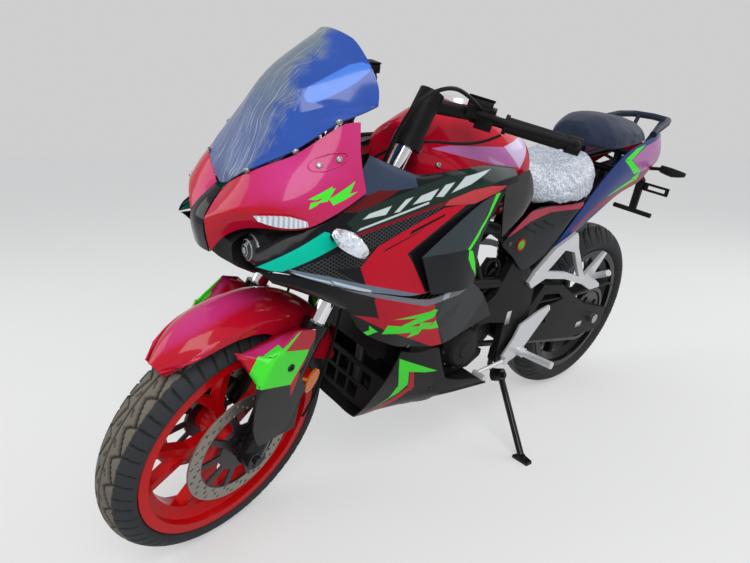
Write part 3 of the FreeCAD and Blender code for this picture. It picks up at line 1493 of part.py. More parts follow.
PAN_HALVES = (
    [(1045, 0, 238), (1064, 98, 262), (1058, 146, 345), (1042, 176, 424), (1030, 188, 494)],
    [(950, 0, 224), (950, 124, 268), (940, 162, 345), (950, 180, 415), (960, 190, 474)],
    [(850, 0, 226), (850, 140, 266), (870, 166, 335), (890, 180, 400), (899, 189, 470)],
    [(800, 0, 228), (800, 145, 266), (815, 166, 305), (822, 170, 330), (828, 172, 348)],
    [(690, 0, 232), (695, 145, 258), (702, 158, 278), (704, 162, 292), (705, 163, 302)],
    [(600, 0, 240), (604, 138, 246), (606, 146, 250), (607, 149, 253), (608, 150, 257)],
)


def belly_pan():
    """Pan under the engine, both sides and bottom."""
    shell = skin([mirrored_row(h) for h in PAN_HALVES], WALL, inward=-1)
    case = size("engine_width") / 2 + size("seat_clearance")
    posts = [rod(at(866, side * case, 332), at(866, side * 165, 332), 8) for side in SIDES]
    feature("belly_pan", shell.multiFuse(posts))


def belly_grille():
    """Guard lattice across the front of the pan, with two rows of slanted openings."""
    x = along(1034)
    thick, bar = 5.0, 9.0
    low, high = 272.0, 398.0
    levels = [low + (high - low) * i / 4 for i in range(5)]
    edge = [skin_y(PAN_HALVES, x, z) - 2.2 * WALL for z in levels]
    outline = [(y, z) for y, z in zip(edge, levels)]
    outline += [(-y, z) for y, z in reversed(outline)]
    panel = Part.Face(polygon([Vector(x, y, z) for y, z in outline]))
    panel = panel.extrude(Vector(thick, 0, 0))
    middle = (low + high) / 2
    pitch, slant = 46.0, 16.0
    for z0, z1 in ((low + 14, middle - bar / 2), (middle + bar / 2, high - 14)):
        room = skin_y(PAN_HALVES, x, z0) - 2.2 * WALL - bar - slant
        count = int(2 * room / pitch)
        for i in range(count):
            y0 = (i - count / 2) * pitch + bar / 2
            y1 = y0 + pitch - bar
            lean = slant * (z1 - z0) / (high - low)
            corners = [(y0, z0), (y1, z0), (y1 + lean, z1), (y0 + lean, z1)]
            hole = Part.Face(polygon([Vector(x - 5, y, z) for y, z in corners]))
            panel = panel.cut(hole.extrude(Vector(thick + 10, 0, 0)))
    feature("belly_grille", panel)


def indicators():
    """Front and rear indicators on short stalks."""
    front = hull([
        [(1298, 236, 838), (1300, 232, 828), (1292, 228, 826), (1288, 232, 838)],
        [(1296, 262, 838), (1296, 252, 812), (1276, 244, 808), (1272, 256, 838)],
        [(1262, 272, 816), (1266, 262, 794), (1250, 252, 790), (1244, 264, 812)],
        [(1240, 266, 796), (1244, 260, 786), (1236, 256, 786), (1234, 260, 796)],
    ])
    stalk = rod(at(1272, 214, 812), at(1272, 250, 818), 8)
    feature("front_indicators", both_sides(join([front, stalk])))
    rear = hull([
        [(-172, 112, 864), (-164, 112, 846), (-182, 112, 838), (-192, 112, 856)],
        [(-178, 150, 862), (-166, 148, 842), (-190, 148, 830), (-204, 150, 850)],
        [(-190, 186, 856), (-182, 186, 846), (-194, 188, 840), (-202, 188, 850)],
    ])
    stalk = rod(Vector(-172, 66, 841), Vector(-176, 116, 851), 6)
    feature("rear_indicators", both_sides(join([rear, stalk])))


def side_covers():
    """Covers under the rider's seat."""
    rows = (
        [(684, 148, 700), (683, 149, 695), (680, 148, 690)],
        [(600, 145, 762), (606, 152, 712), (618, 150, 650)],
        [(545, 141, 784), (552, 150, 700), (560, 148, 604)],
        [(430, 138, 778), (440, 145, 712), (448, 139.9, 638)],
        [(352, 134, 776), (358, 142, 748), (368, 138, 724)],
        [(304, 130, 776), (310, 133, 768), (318, 132, 760)],
    )
    rail_y = 105 + size("subframe_tube_radius") + size("seat_clearance")
    post = boss(rows, 392, 742, rail_y, 6)
    feature("side_covers", both_sides(skin(rows, WALL, inward=1).fuse(post)))


def tank_trims():
    """Dark plates at the tank's lower rear sides."""
    rows = (
        [(742, 160, 862), (728, 158, 800), (702, 154, 722)],
        [(690, 154, 880), (678, 156, 800), (672, 152, 742)],
        [(640, 146, 890), (628, 152, 810), (630, 149, 770)],
        [(600, 140, 850), (594, 144, 820), (596, 142, 796)],
    )
    post = boss(rows, along(690), 840, TRIM_SEAT + size("seat_clearance"), 7)
    feature("tank_trims", both_sides(skin(rows, WALL, inward=1).fuse(post)))


def tail():
    """Tail panels, undertray, tail lamp and grab rail."""
    rows = (
        [(440, 140, 626), (448, 141, 612), (456, 140, 600)],
        [(335, 135, 732), (330, 138, 698), (340, 133, 664)],
        [(228, 128, 838), (208, 132, 788), (190, 126, 738)],
        [(106, 119, 918), (95, 125, 845), (70, 114, 784)],
        [(0, 109, 941), (-22, 113, 880), (-60, 102, 806)],
        [(-110, 91, 962), (-125, 98, 904), (-140, 90, 844)],
        [(-190, 66, 962), (-200, 82, 902), (-198, 80, 868)],
    )
    shell = skin(rows, WALL, inward=1)
    rail = size("subframe_tube_radius") + size("seat_clearance")
    post = boss(rows, 96, 833.2, 88.8 + rail, 6)
    feature("tail_panels", both_sides(shell.fuse(post)))
    tray = hull([mirrored_loop(h) for h in (
        [(420, 0, 690), (420, 70, 690), (424, 84, 660), (424, 78, 640), (420, 0, 650)],
        [(250, 0, 762), (250, 66, 760), (250, 78, 738), (250, 72, 718), (250, 0, 746)],
        [(60, 0, 812), (60, 64, 810), (60, 74, 790), (60, 70, 776), (60, 0, 796)],
        [(-120, 0, 842), (-120, 56, 840), (-120, 70, 826), (-120, 64, 812), (-120, 0, 822)],
        [(-196, 0, 860), (-196, 48, 858), (-196, 58, 848), (-196, 54, 838), (-196, 0, 842)],
    )])
    cross = size("subframe_tube_radius") - 1 + size("seat_clearance")
    posts = [rod(Vector(x, side * 30, low), Vector(x, side * 30, high - cross), 8)
             for x, low, high in ((60, 800, 845), (-140, 836, 878)) for side in SIDES]
    feature("undertray", tray.multiFuse([plate_bracket()] + posts))
    lamp = hull([mirrored_loop(h) for h in (
        [(-180, 0, 920), (-180, 40, 918), (-180, 58, 900), (-180, 52, 872), (-180, 0, 868)],
        [(-226, 0, 916), (-224, 38, 914), (-220, 52, 898), (-218, 46, 876), (-222, 0, 872)],
    )])
    peg = rod(Vector(-188, 0, 862), Vector(-188, 0, 880), 8)
    feature("tail_lamp", lamp.fuse(peg))
    path = [Vector(-42, 109, 967), Vector(-78, 102, 980), Vector(-160, 86, 998),
            Vector(-222, 62, 1004), Vector(-236, 0, 1006)]
    path += [Vector(p.x, -p.y, p.z) for p in reversed(path[:-1])]
    cross = size("subframe_tube_radius") - 1 + size("seat_clearance")
    legs = []
    for side in SIDES:
        foot = Vector(-140, side * 30, 878)
        leg = rod(foot, Vector(-224, side * 44, 1004), 7)
        legs.append(leg.cut(rod(Vector(-140, -80, 878), Vector(-140, 80, 878), cross)))
    feature("grab_rail", join([tube(path, 11, 24)] + legs))


def plate_hole(side):
    """Centre of a number-plate screw hole in the hanger's cross bar."""
    y = size("plate_bar_width") / 2 - size("plate_hole_inset")
    return Vector(size("plate_bar_x"), side * y, size("plate_bar_height"))


def plate_bracket():
    """Hanger for the number plate, with its cross bar and fixing holes."""
    stem = plate([(-196, 846), (-205, 826), (-300, 770), (-304, 652), (-316, 652),
                  (-316, 776), (-212, 838)], -13, 26)
    half = size("plate_bar_width") / 2
    x = size("plate_bar_x")
    z = size("plate_bar_height")
    bar = rod(Vector(x, -half, z), Vector(x, half, z), size("plate_bar_radius"))
    loop = Part.makeBox(8, 96, 30, Vector(-318, 12, 738))
    gap = Part.makeBox(20, 66, 14, Vector(-324, 30, 746))
    solid = join([stem, bar, loop.cut(gap)])
    for side in SIDES:
        hole = plate_hole(side)
        reach = Vector(size("plate_bar_radius") + 5, 0, 0)
        solid = solid.cut(rod(hole - reach, hole + reach, size("plate_hole_radius")))
    return solid


def rear_brake():
    """Rear caliper on its bracket over the disc."""
    y = size("rear_disc_offset")
    angle = math.radians(52)
    reach = size("rear_disc_radius") - 14
    centre = REAR_AXLE + Vector(reach * math.cos(angle), 0, reach * math.sin(angle))
    body = Part.makeBox(70, 36, 44, Vector(-35, -18, -22))
    body = body.makeFillet(8, body.Edges)
    body.rotate(Vector(0, 0, 0), Vector(0, 1, 0), 38)
    body.translate(centre + Vector(0, y, 0))
    slot = Part.makeCylinder(size("rear_disc_radius") + 5, size("disc_thickness") + 6,
                             Vector(0, y - size("disc_thickness") / 2 - 3, REAR_AXLE.z),
                             Vector(0, 1, 0))
    inner = size("swingarm_width") / 2 - size("swingarm_plate") - size("seat_clearance")
    outline = [(x, z + REAR_AXLE.z) for x, z in
               ((-20, -14), (6, -24), (30, 0), (92, 58), (96, 84), (70, 100), (40, 84), (-16, 20))]
    bracket = plate(outline, -inner, 6)
    hole = rod(REAR_AXLE - Vector(0, 200, 0), REAR_AXLE,
               size("axle_radius") + size("joint_clearance"))
    feature("rear_caliper", body.cut(slot).fuse(bracket.cut(hole)))


wheels()
fork()
yokes()
bars()
front_fender()
calipers()
reflectors()
pivot_pin = frame()
subframe()
engine()
engine_covers()
radiator()
exhaust()
axle_pin = swingarm()
feature("axle_bolts", Part.makeCompound([pivot_pin, axle_pin]))
chain()
shock()
side_stand()
footrests()
passenger_rests()
tank()
seats()
windscreen()
nose()
feature("front_lamps", Part.makeCompound(lamp_mask() + [running_lights()]))
side_panels()
belly_pan()
belly_grille()
indicators()
side_covers()
tank_trims()
tail()
rear_brake()

doc.recompute()

# Row frame: origin under the middle of the leaned bike
box = FreeCAD.BoundBox()
for obj, _, _ in pieces:
    box.add(obj.Shape.optimalBoundingBox(False, False))
SHIFT = Vector(-(box.XMin + box.XMax) / 2, -(box.YMin + box.YMax) / 2, -box.ZMin)
TO_ROW = Placement(SHIFT, Rotation())
for obj, group, local in pieces:
    obj.Placement = TO_ROW * GROUPS[group] * local
doc.recompute()

failed = [o.Label for o in doc.Objects if "Invalid" in o.State or "Error" in o.State]
if failed:
    raise RuntimeError("failed features: " + ", ".join(failed))
for obj, _, _ in pieces:
    if obj.Shape.isNull() or not obj.Shape.isValid() or not obj.Shape.Solids:
        raise RuntimeError("bad shape: " + obj.Label)

os.makedirs("parts", exist_ok=True)
for obj, _, _ in pieces:
    obj.Shape.exportStep("parts/" + obj.Label + ".step")


def report(name, point, direction):
    """Print a place and a direction of the row frame in metres."""
    print("%s pos %.5f %.5f %.5f axis %.5f %.5f %.5f" % (
        name, point.x / 1000, point.y / 1000, point.z / 1000,
        direction.x, direction.y, direction.z))


row_frame = TO_ROW * STANCE
row_steer = TO_ROW * STEERED
report("steering", row_frame.multVec(STEER_FOOT + STEER_AXIS * 780),
       row_frame.Rotation.multVec(STEER_AXIS))
report("front_wheel", row_steer.multVec(FRONT_AXLE),
       row_steer.Rotation.multVec(Vector(0, 1, 0)))
report("rear_wheel", row_frame.multVec(REAR_AXLE), row_frame.Rotation.multVec(Vector(0, 1, 0)))
report("side_stand", row_frame.multVec(Vector(
    size("stand_pivot_x"), size("stand_pivot_out"), size("stand_pivot_height"))),
    row_frame.Rotation.multVec(STAND_AXIS))
for side, name in ((LEFT, "left"), (RIGHT, "right")):
    report("bobbin_" + name, row_frame.multVec(bobbin_mouth(side)),
           row_frame.Rotation.multVec(Vector(0, side, 0)))
    report("plate_hole_" + name, row_frame.multVec(plate_hole(side)),
           row_frame.Rotation.multVec(Vector(-1, 0, 0)))
print("shift", SHIFT, "box", box)
print("pieces", len(pieces))
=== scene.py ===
"""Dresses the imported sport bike: finishes, smooth panels, tyres, seats, screws, hoses and a studio."""

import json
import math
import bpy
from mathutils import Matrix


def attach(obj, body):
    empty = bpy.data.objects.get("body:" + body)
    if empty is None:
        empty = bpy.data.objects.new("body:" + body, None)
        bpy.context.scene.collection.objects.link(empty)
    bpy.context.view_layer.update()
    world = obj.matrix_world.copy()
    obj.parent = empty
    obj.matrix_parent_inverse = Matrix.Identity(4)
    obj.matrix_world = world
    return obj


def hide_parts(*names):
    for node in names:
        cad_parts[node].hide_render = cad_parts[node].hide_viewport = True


bl_info = {
    "name": "Sport Bike Dresser",
    "version": (1, 0, 0),
    "blender": (4, 5, 0),
    "location": "3D View > Sidebar > Sport Bike",
    "description": "Adds finishes, panels, tyres, trim, hoses and a studio to the packed sport bike",
    "category": "Object",
}

import bmesh
import bpy
from bpy.props import FloatProperty, FloatVectorProperty, IntProperty, PointerProperty
from mathutils import Matrix, Vector, noise
from mathutils.bvhtree import BVHTree

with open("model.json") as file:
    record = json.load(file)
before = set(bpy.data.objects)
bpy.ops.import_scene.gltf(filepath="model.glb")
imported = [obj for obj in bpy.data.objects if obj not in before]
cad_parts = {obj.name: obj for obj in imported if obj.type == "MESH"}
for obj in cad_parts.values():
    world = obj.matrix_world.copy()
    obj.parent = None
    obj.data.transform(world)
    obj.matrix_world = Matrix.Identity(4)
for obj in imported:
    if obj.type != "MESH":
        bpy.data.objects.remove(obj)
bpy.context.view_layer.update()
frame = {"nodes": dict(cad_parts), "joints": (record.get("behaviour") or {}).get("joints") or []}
LEFT = 1
RIGHT = -1
SIDES = (LEFT, RIGHT)

# Millimetres of the running gear
WHEELBASE = 1376
FRONT_RADIUS = 287
REAR_RADIUS = 316

# The bike's own frame: X forward from below the rear axle, Y left, Z up, wheels upright
LEAN = Matrix(((1.0, -0.000509, 0.002331), (0.0, 0.976952, 0.213461),
               (-0.002386, -0.213461, 0.976949)))
BIKE = Matrix.Translation(Vector((-0.67022, -0.17577, 0.00161))) @ LEAN.to_4x4()
BIKE_UP = LEAN @ Vector((0, 0, 1))

# The fork's frame: the bike's own one, turned about the steering joint as it is parked
STEERED_ANGLE = math.radians(12.87)
STEERING = next(joint for joint in frame["joints"] if joint["name"] == "steering_turn")
STEER_POINT = Vector(STEERING["pos_m"])
STEER_LINE = Vector(STEERING["axis"]).normalized()
TURN = Matrix.Translation(STEER_POINT) @ Matrix.Rotation(STEERED_ANGLE, 4, STEER_LINE) \
    @ Matrix.Translation(-STEER_POINT)
FORK = TURN @ BIKE
FRONT_WHEEL = FORK @ Matrix.Translation((WHEELBASE / 1000, 0.0, FRONT_RADIUS / 1000))
REAR_WHEEL = BIKE @ Matrix.Translation((0.0, 0.0, REAR_RADIUS / 1000))

# What is made once and used by name
GROUPS = {}
MATERIALS = {}
TREES = {}


def at(x, y, z, place=BIKE):
    """A point given in millimetres of the bike's frame, in the row frame."""
    return place @ Vector((x / 1000, y / 1000, z / 1000))


def mirrored(points, side=RIGHT):
    """Points of the left side, on the side that is asked for."""
    return [(x, side * y, z) for x, y, z in points]


# Node helpers
FLOAT = "NodeSocketFloat"
VECTOR = "NodeSocketVector"
COLOUR = "NodeSocketColor"
MIX_AMOUNT, MIX_LOW, MIX_HIGH, MIX_RESULT = 0, 6, 7, 2


def link(tree, source, target):
    """Joins a node's output to another node's input."""
    tree.links.new(source, target)


def fill(tree, sockets, values):
    """Gives each named socket its value, or a link where the value is a node's output."""
    for key, value in values.items():
        if isinstance(value, bpy.types.NodeSocket):
            link(tree, value, sockets[key])
        else:
            sockets[key].default_value = value


def node(tree, kind, inputs=None, **settings):
    """A node with its settings and the values or links of its inputs."""
    made = tree.nodes.new(kind)
    for key, value in settings.items():
        setattr(made, key, value)
    fill(tree, made.inputs, inputs or {})
    return made


def maths(tree, operation, a, b=0.0, clamp=False):
    """The result of a Math node."""
    return node(tree, "ShaderNodeMath", {0: a, 1: b}, operation=operation,
                use_clamp=clamp).outputs[0]


def plus(tree, a, b, clamp=False):
    """The sum of two values."""
    return maths(tree, "ADD", a, b, clamp)


def minus(tree, a, b):
    """The difference of two values."""
    return maths(tree, "SUBTRACT", a, b)


def times(tree, a, b, clamp=False):
    """The product of two values."""
    return maths(tree, "MULTIPLY", a, b, clamp)


def above(tree, value, limit):
    """1 where a value is more than a limit."""
    return maths(tree, "GREATER_THAN", value, limit)


def swing(tree, value, amount):
    """A value from 0 to 1, turned into a swing of an amount about zero."""
    return times(tree, minus(tree, value, 0.5), amount)


def ramp(tree, value, low, high, start=0.0, end=1.0):
    """Goes from start to end as a value goes from low to high."""
    return node(tree, "ShaderNodeMapRange", {"Value": value, "From Min": low, "From Max": high,
                                             "To Min": start, "To Max": end}).outputs[0]


def cloud(tree, place, scale, detail, rough=0.5):
    """The value of a noise at a place."""
    return node(tree, "ShaderNodeTexNoise", {"Vector": place, "Scale": scale, "Detail": detail,
                                             "Roughness": rough}).outputs["Fac"]


def split(tree, place):
    """The X, Y and Z of a place."""
    return node(tree, "ShaderNodeSeparateXYZ", {0: place}).outputs


def joined(tree, x, y=0.0):
    """A vector of two values."""
    return node(tree, "ShaderNodeCombineXYZ", {0: x, 1: y}).outputs[0]


def along(tree, place, way):
    """How far a place is along a direction."""
    return node(tree, "ShaderNodeVectorMath", {0: place, 1: way},
                operation="DOT_PRODUCT").outputs["Value"]


def radius_of(tree, x, y):
    """Distance from the middle of two values."""
    return node(tree, "ShaderNodeVectorMath", {0: joined(tree, x, y)},
                operation="LENGTH").outputs["Value"]


def bump(tree, height, strength, distance, normal=None):
    """The normal of a raised pattern, on top of another normal if there is one."""
    inputs = {"Height": height, "Strength": strength, "Distance": distance}
    if normal is not None:
        inputs["Normal"] = normal
    return node(tree, "ShaderNodeBump", inputs).outputs[0]


def shaded(colour, share):
    """A colour with only a share of its light."""
    return tuple(c * share for c in colour[:3])


def blend_colour(tree, amount, low, high):
    """A colour mix whose inputs are links or colours."""
    low, high = ((*end[:3], 1.0) if isinstance(end, tuple) else end for end in (low, high))
    return node(tree, "ShaderNodeMix", {MIX_AMOUNT: amount, MIX_LOW: low, MIX_HIGH: high},
                data_type="RGBA").outputs[MIX_RESULT]


def object_place(tree, frame_of=None):
    """Object coordinates, or the same point in the upright bike's or unsteered fork's frame."""
    place = node(tree, "ShaderNodeTexCoord").outputs["Object"]
    if frame_of is None:
        return place
    return node(tree, "ShaderNodeMapping", {
        "Vector": place, "Location": frame_of.to_translation(),
        "Rotation": frame_of.to_euler("XYZ")}, vector_type="TEXTURE").outputs[0]


# Shared effects: lengths in metres, and noises by how fine they are
EDGE_ROUNDING = 0.0022
GRAIN_HEIGHT = 0.0006
DUST_TOP = 0.75
DUST_BOTTOM = 0.05
DUST_PATCHES = 38.0
DUST_SPECKS = 420.0
WIRE_WAYS = ((0.5, 0.0, 0.866), (0.5, 0.0, -0.866))
EDGE_SOFTNESS = 0.0012
MESH = "mesh"


def new_group(name, inputs, outputs):
    """An empty group: inputs by their defaults, None for a vector, and outputs by their kinds."""
    group = bpy.data.node_groups.new(name, "ShaderNodeTree")
    for label, value in inputs.items():
        kind = VECTOR if value is None else FLOAT if isinstance(value, float) else COLOUR
        socket = group.interface.new_socket(label, in_out="INPUT", socket_type=kind)
        if value is not None:
            socket.default_value = value
    for label, kind in outputs.items():
        group.interface.new_socket(label, in_out="OUTPUT", socket_type=kind)
    return (group, group.nodes.new("NodeGroupInput").outputs,
            group.nodes.new("NodeGroupOutput").inputs)


def place_group(tree, name, inputs):
    """One of the shared effects, placed in a material with its own values."""
    made = tree.nodes.new("ShaderNodeGroup")
    made.node_tree = GROUPS[name]
    fill(tree, made.inputs, inputs)
    return made.outputs


def edge_group():
    """1 on the side of a straight edge that its normal points to."""
    group, given, result = new_group(
        "straight_edge", {"Place": None, "Normal": None, "Offset": 0.0, "Softness": 0.001},
        {"Mask": FLOAT})
    gap = minus(group, along(group, given["Place"], given["Normal"]), given["Offset"])
    soft = maths(group, "DIVIDE", gap, given["Softness"])
    link(group, plus(group, soft, 0.5, True), result["Mask"])
    return group


def grain_group():
    """Fine moulded grain as a normal, and uneven gloss as a value."""
    group, given, result = new_group(
        "fine_grain",
        {"Place": None, "Scale": 900.0, "Height": 0.2, "Gloss": 0.4, "Spread": 0.1},
        {"Normal": VECTOR, "Roughness": FLOAT})
    rounded = node(group, "ShaderNodeBevel", {"Radius": EDGE_ROUNDING}, samples=4).outputs[0]
    fine = cloud(group, given["Place"], given["Scale"], 3.0)
    link(group, bump(group, fine, given["Height"], GRAIN_HEIGHT, rounded), result["Normal"])
    uneven = swing(group, cloud(group, given["Place"], 9.0, 4.0), given["Spread"])
    link(group, plus(group, given["Gloss"], uneven, True), result["Roughness"])
    return group


def dust_group():
    """Road dust: settles low on the bike and on faces that look up."""
    group, given, result = new_group(
        "road_dust", {"Place": None, "Colour": (0.5, 0.5, 0.5, 1.0), "Amount": 0.3,
                      "Dust": (0.12, 0.1, 0.075, 1.0)},
        {"Colour": COLOUR, "Mask": FLOAT})
    low = ramp(group, split(group, given["Place"])["Z"], DUST_TOP, DUST_BOTTOM, 0.25, 1.0)
    normal = node(group, "ShaderNodeNewGeometry").outputs["Normal"]
    facing = plus(group, times(group, split(group, normal)["Z"], 0.35), 0.65, True)
    mottled = times(group, cloud(group, given["Place"], DUST_PATCHES, 8.0, 0.7),
                    cloud(group, given["Place"], DUST_SPECKS, 2.0))
    mask = times(group, times(group, low, facing), times(group, mottled, 3.0))
    mask = times(group, mask, given["Amount"], True)
    link(group, mask, result["Mask"])
    link(group, blend_colour(group, mask, given["Colour"], given["Dust"]), result["Colour"])
    return group


def wire_group():
    """A woven wire mesh seen from the side: 1 on a wire, 0 in a hole."""
    group, given, result = new_group("wire_mesh", {"Place": None, "Pitch": 0.006},
                                     {"Wire": FLOAT})
    wires = []
    for way in WIRE_WAYS:
        count = maths(group, "DIVIDE", along(group, given["Place"], way), given["Pitch"])
        near = maths(group, "ABSOLUTE", minus(group, maths(group, "FRACT", count), 0.5))
        wires.append(times(group, minus(group, near, 0.3), 9.0, True))
    link(group, maths(group, "MAXIMUM", *wires), result["Wire"])
    return group


def outline_mask(tree, place, points, soft=EDGE_SOFTNESS):
    """1 inside a convex outline of (x, z) millimetre points, seen from the side."""
    centre = Vector((sum(p[0] for p in points), sum(p[1] for p in points))) / len(points)
    mask = None
    for first, second in zip(points, points[1:] + points[:1]):
        run = Vector(second) - Vector(first)
        normal = Vector((-run.y, run.x)).normalized()
        if normal.dot(centre - Vector(first)) < 0:
            normal = -normal
        edge = place_group(tree, "edge", {
            "Place": place, "Normal": (normal.x, 0.0, normal.y),
            "Offset": normal.dot(Vector(first)) / 1000, "Softness": soft})["Mask"]
        mask = edge if mask is None else maths(tree, "MINIMUM", mask, edge)
    return mask


def mesh_paint(tree, place):
    """Grey wires of a woven mesh over black holes."""
    wire = place_group(tree, "wire", {"Place": place})["Wire"]
    return blend_colour(tree, wire, (0.001, 0.001, 0.001), (0.05, 0.052, 0.058))


# Kinds of finish: places in metres; rings, ribs and film lines by how close they lie
PLAIN_SPECULAR = 0.1
COAT_ROUGHNESS = 0.04
SAME_GLOSS = 0.03
DUSTY_GLOSS = 0.35
LAMP_CENTRE = (0.094, 0.759)
LAMP_RINGS = 720.0
LAMP_RIBS = 900.0
LAMP_BULB = 0.006
LAMP_STRIP_LEVEL = 0.815
DISC_INNER = 0.106
SCREEN_TOP = 1.127
SCREEN_PATCH_SOFTNESS = 0.002
SCREEN_PATCH_LEFT_OF = 0.02
SCREEN_WAY = (-0.62, -0.08, 0.78)
FILM_LINES = 330.0
FILM_EDGE = (-0.012, 0.016)


def start_material(name):
    """A bare shader in a new material, which is kept by its name."""
    material = bpy.data.materials.new(name)
    material.use_nodes = True
    tree = material.node_tree
    tree.nodes.clear()
    shader = node(tree, "ShaderNodeBsdfPrincipled")
    node(tree, "ShaderNodeOutputMaterial", {"Surface": shader.outputs[0]})
    MATERIALS[name] = material
    return tree, shader


def add_grain(tree, shader, scale, height, gloss, spread):
    """Puts the grain's normal on a shader, and hands back its uneven gloss."""
    grains = place_group(tree, "grain", {"Place": object_place(tree), "Scale": scale,
                                         "Height": height, "Gloss": gloss, "Spread": spread})
    link(tree, grains["Normal"], shader.inputs["Normal"])
    return grains["Roughness"]


def surface(name, colour, gloss=0.4, spread=0.1, grain=0.1, scale=900.0, dust=0.2, metallic=0.0,
            coat=0.0, areas=(), place=BIKE, tint=0.12, sheen=0.0, sky=None, bare_middle=None):
    """A finish: mottled colour, a painted sky reflection, convex areas of other finishes and of painted
    highlights and reflections, grain, uneven gloss and dust.

    sky is a painted sky reflection: the colour that faces turn to where they look one way, with that way
    and the range of their turn.
    bare_middle is the stretch across the bike that the areas leave out.
    """
    tree, shader = start_material(name)
    position = object_place(tree, place)
    here = object_place(tree)
    base = blend_colour(tree, cloud(tree, here, 14.0, 5.0), shaded(colour, 1 - tint), colour)
    # Painted sky reflection: faces that look the given way take the sky's colour
    if sky:
        sky_reflection_colour, way, low, high = sky
        normal = node(tree, "ShaderNodeNewGeometry").outputs["Normal"]
        lift = ramp(tree, along(tree, normal, way), low, high)
        base = blend_colour(tree, lift, base, sky_reflection_colour)
    outer = None
    if bare_middle:
        across = split(tree, position)["Y"]
        outer = maths(tree, "MAXIMUM", above(tree, across, bare_middle[1]),
                      maths(tree, "LESS_THAN", across, bare_middle[0]))
    rough = gloss
    for paint, shine, shapes in areas:
        if paint == MESH:
            paint = mesh_paint(tree, position)
        for points in shapes:
            mask = outline_mask(tree, position, points)
            if outer is not None:
                mask = times(tree, mask, outer)
            base = blend_colour(tree, mask, base, paint)
            if abs(shine - gloss) > SAME_GLOSS:
                rough = plus(tree, rough, times(tree, mask, shine - gloss))
    dusty = place_group(tree, "dust", {"Place": here, "Colour": base, "Amount": dust})
    rough = plus(tree, add_grain(tree, shader, scale, grain, rough, spread),
                 times(tree, dusty["Mask"], DUSTY_GLOSS), True)
    fill(tree, shader.inputs, {
        "Base Color": dusty["Colour"], "Roughness": rough, "Metallic": metallic,
        "Specular IOR Level": PLAIN_SPECULAR, "Coat Weight": coat,
        "Coat Roughness": COAT_ROUGHNESS, "Sheen Weight": sheen})


def crinkled(name, colour, shine, gloss, metallic, scale, height, bubbles, cells, edges="F1"):
    """Crinkled wrap: foil, or a foam sheet with rows of small bubbles; shine is a painted highlight
    colour that the beads lay over the base colour.
    """
    tree, shader = start_material(name)
    here = object_place(tree)
    folds = node(tree, "ShaderNodeTexVoronoi", {"Vector": here, "Scale": scale},
                 feature="SMOOTH_F1").outputs["Distance"]
    beads = node(tree, "ShaderNodeTexVoronoi", {"Vector": here, "Scale": cells},
                 feature=edges).outputs["Distance"]
    rise = plus(tree, folds, times(tree, beads, bubbles))
    rough = plus(tree, times(tree, cloud(tree, here, 25.0, 4.0), 0.2), gloss - 0.1, True)
    fill(tree, shader.inputs, {
        # Painted highlight: the beads' pattern lays the shine colour over the base
        "Base Color": blend_colour(tree, ramp(tree, beads, 0.15, 0.6), shine, colour),
        "Normal": bump(tree, rise, height, 0.006), "Roughness": rough, "Metallic": metallic,
        "Coat Weight": 0.3})


def tread_finish(name, rubber, dust):
    """Rubber whose crown carries dried dust, with painted shade that darkens its grooves; reads the
    mesh's own masks.
    """
    tree, shader = start_material(name)
    marks = node(tree, "ShaderNodeAttribute", attribute_name="tread").outputs["Color"]
    marks = node(tree, "ShaderNodeSeparateColor", {0: marks}).outputs
    patchy = cloud(tree, object_place(tree), 60.0, 8.0, 0.75)
    crown = ramp(tree, plus(tree, marks["Green"], swing(tree, patchy, 1.1)), 0.38, 0.62, 0.0, 0.85)
    base = blend_colour(tree, crown, rubber, blend_colour(tree, patchy, shaded(dust, 0.75), dust))
    # Painted shade: the grooves darken by their depth
    base = blend_colour(tree, times(tree, marks["Red"], 0.9), base, (0.004, 0.004, 0.004))
    fill(tree, shader.inputs, {
        "Base Color": base, "Roughness": add_grain(tree, shader, 1500.0, 0.4, 0.72, 0.2),
        "Specular IOR Level": 0.35})


def lamp_finish(name):
    """Lamps behind clear glass: round bowls of bright and dark rings, ribbed strips above."""
    tree, shader = start_material(name)
    spot = split(tree, object_place(tree, BIKE))
    across = minus(tree, maths(tree, "ABSOLUTE", spot["Y"]), LAMP_CENTRE[0])
    radius = radius_of(tree, across, minus(tree, spot["Z"], LAMP_CENTRE[1]))
    ring = ramp(tree, maths(tree, "SINE", times(tree, radius, LAMP_RINGS)), 0.55, 1.0)
    bowl = blend_colour(tree, ring, (0.006, 0.007, 0.009), (0.28, 0.3, 0.34))
    bulb = maths(tree, "LESS_THAN", radius, LAMP_BULB)
    bowl = blend_colour(tree, bulb, bowl, (0.3, 0.33, 0.38))
    rib = ramp(tree, maths(tree, "SINE", times(tree, spot["X"], LAMP_RIBS)), -0.8, 0.5)
    strip = blend_colour(tree, rib, (0.42, 0.46, 0.54), (0.72, 0.78, 0.86))
    upper = above(tree, spot["Z"], LAMP_STRIP_LEVEL)
    fill(tree, shader.inputs, {
        "Base Color": blend_colour(tree, upper, bowl, strip),
        "Normal": bump(tree, blend_colour(tree, upper, ring, rib), 0.4, 0.002),
        "Roughness": 0.12, "Coat Weight": 0.3})


def disc_finish(name, place, inner):
    """A brake disc: brushed steel outside a radius, black paint on the carrier inside it."""
    tree, shader = start_material(name)
    spot = split(tree, object_place(tree, place))
    radius = radius_of(tree, spot["X"], spot["Z"])
    ring = above(tree, radius, inner)
    steel = blend_colour(tree, cloud(tree, joined(tree, radius), 900.0, 3.0),
                         (0.2, 0.19, 0.165), (0.36, 0.34, 0.3))
    fill(tree, shader.inputs, {
        "Base Color": blend_colour(tree, ring, (0.008, 0.008, 0.009), steel),
        "Metallic": times(tree, ring, 0.75),
        "Roughness": add_grain(tree, shader, 500.0, 0.2, 0.42, 0.15)})


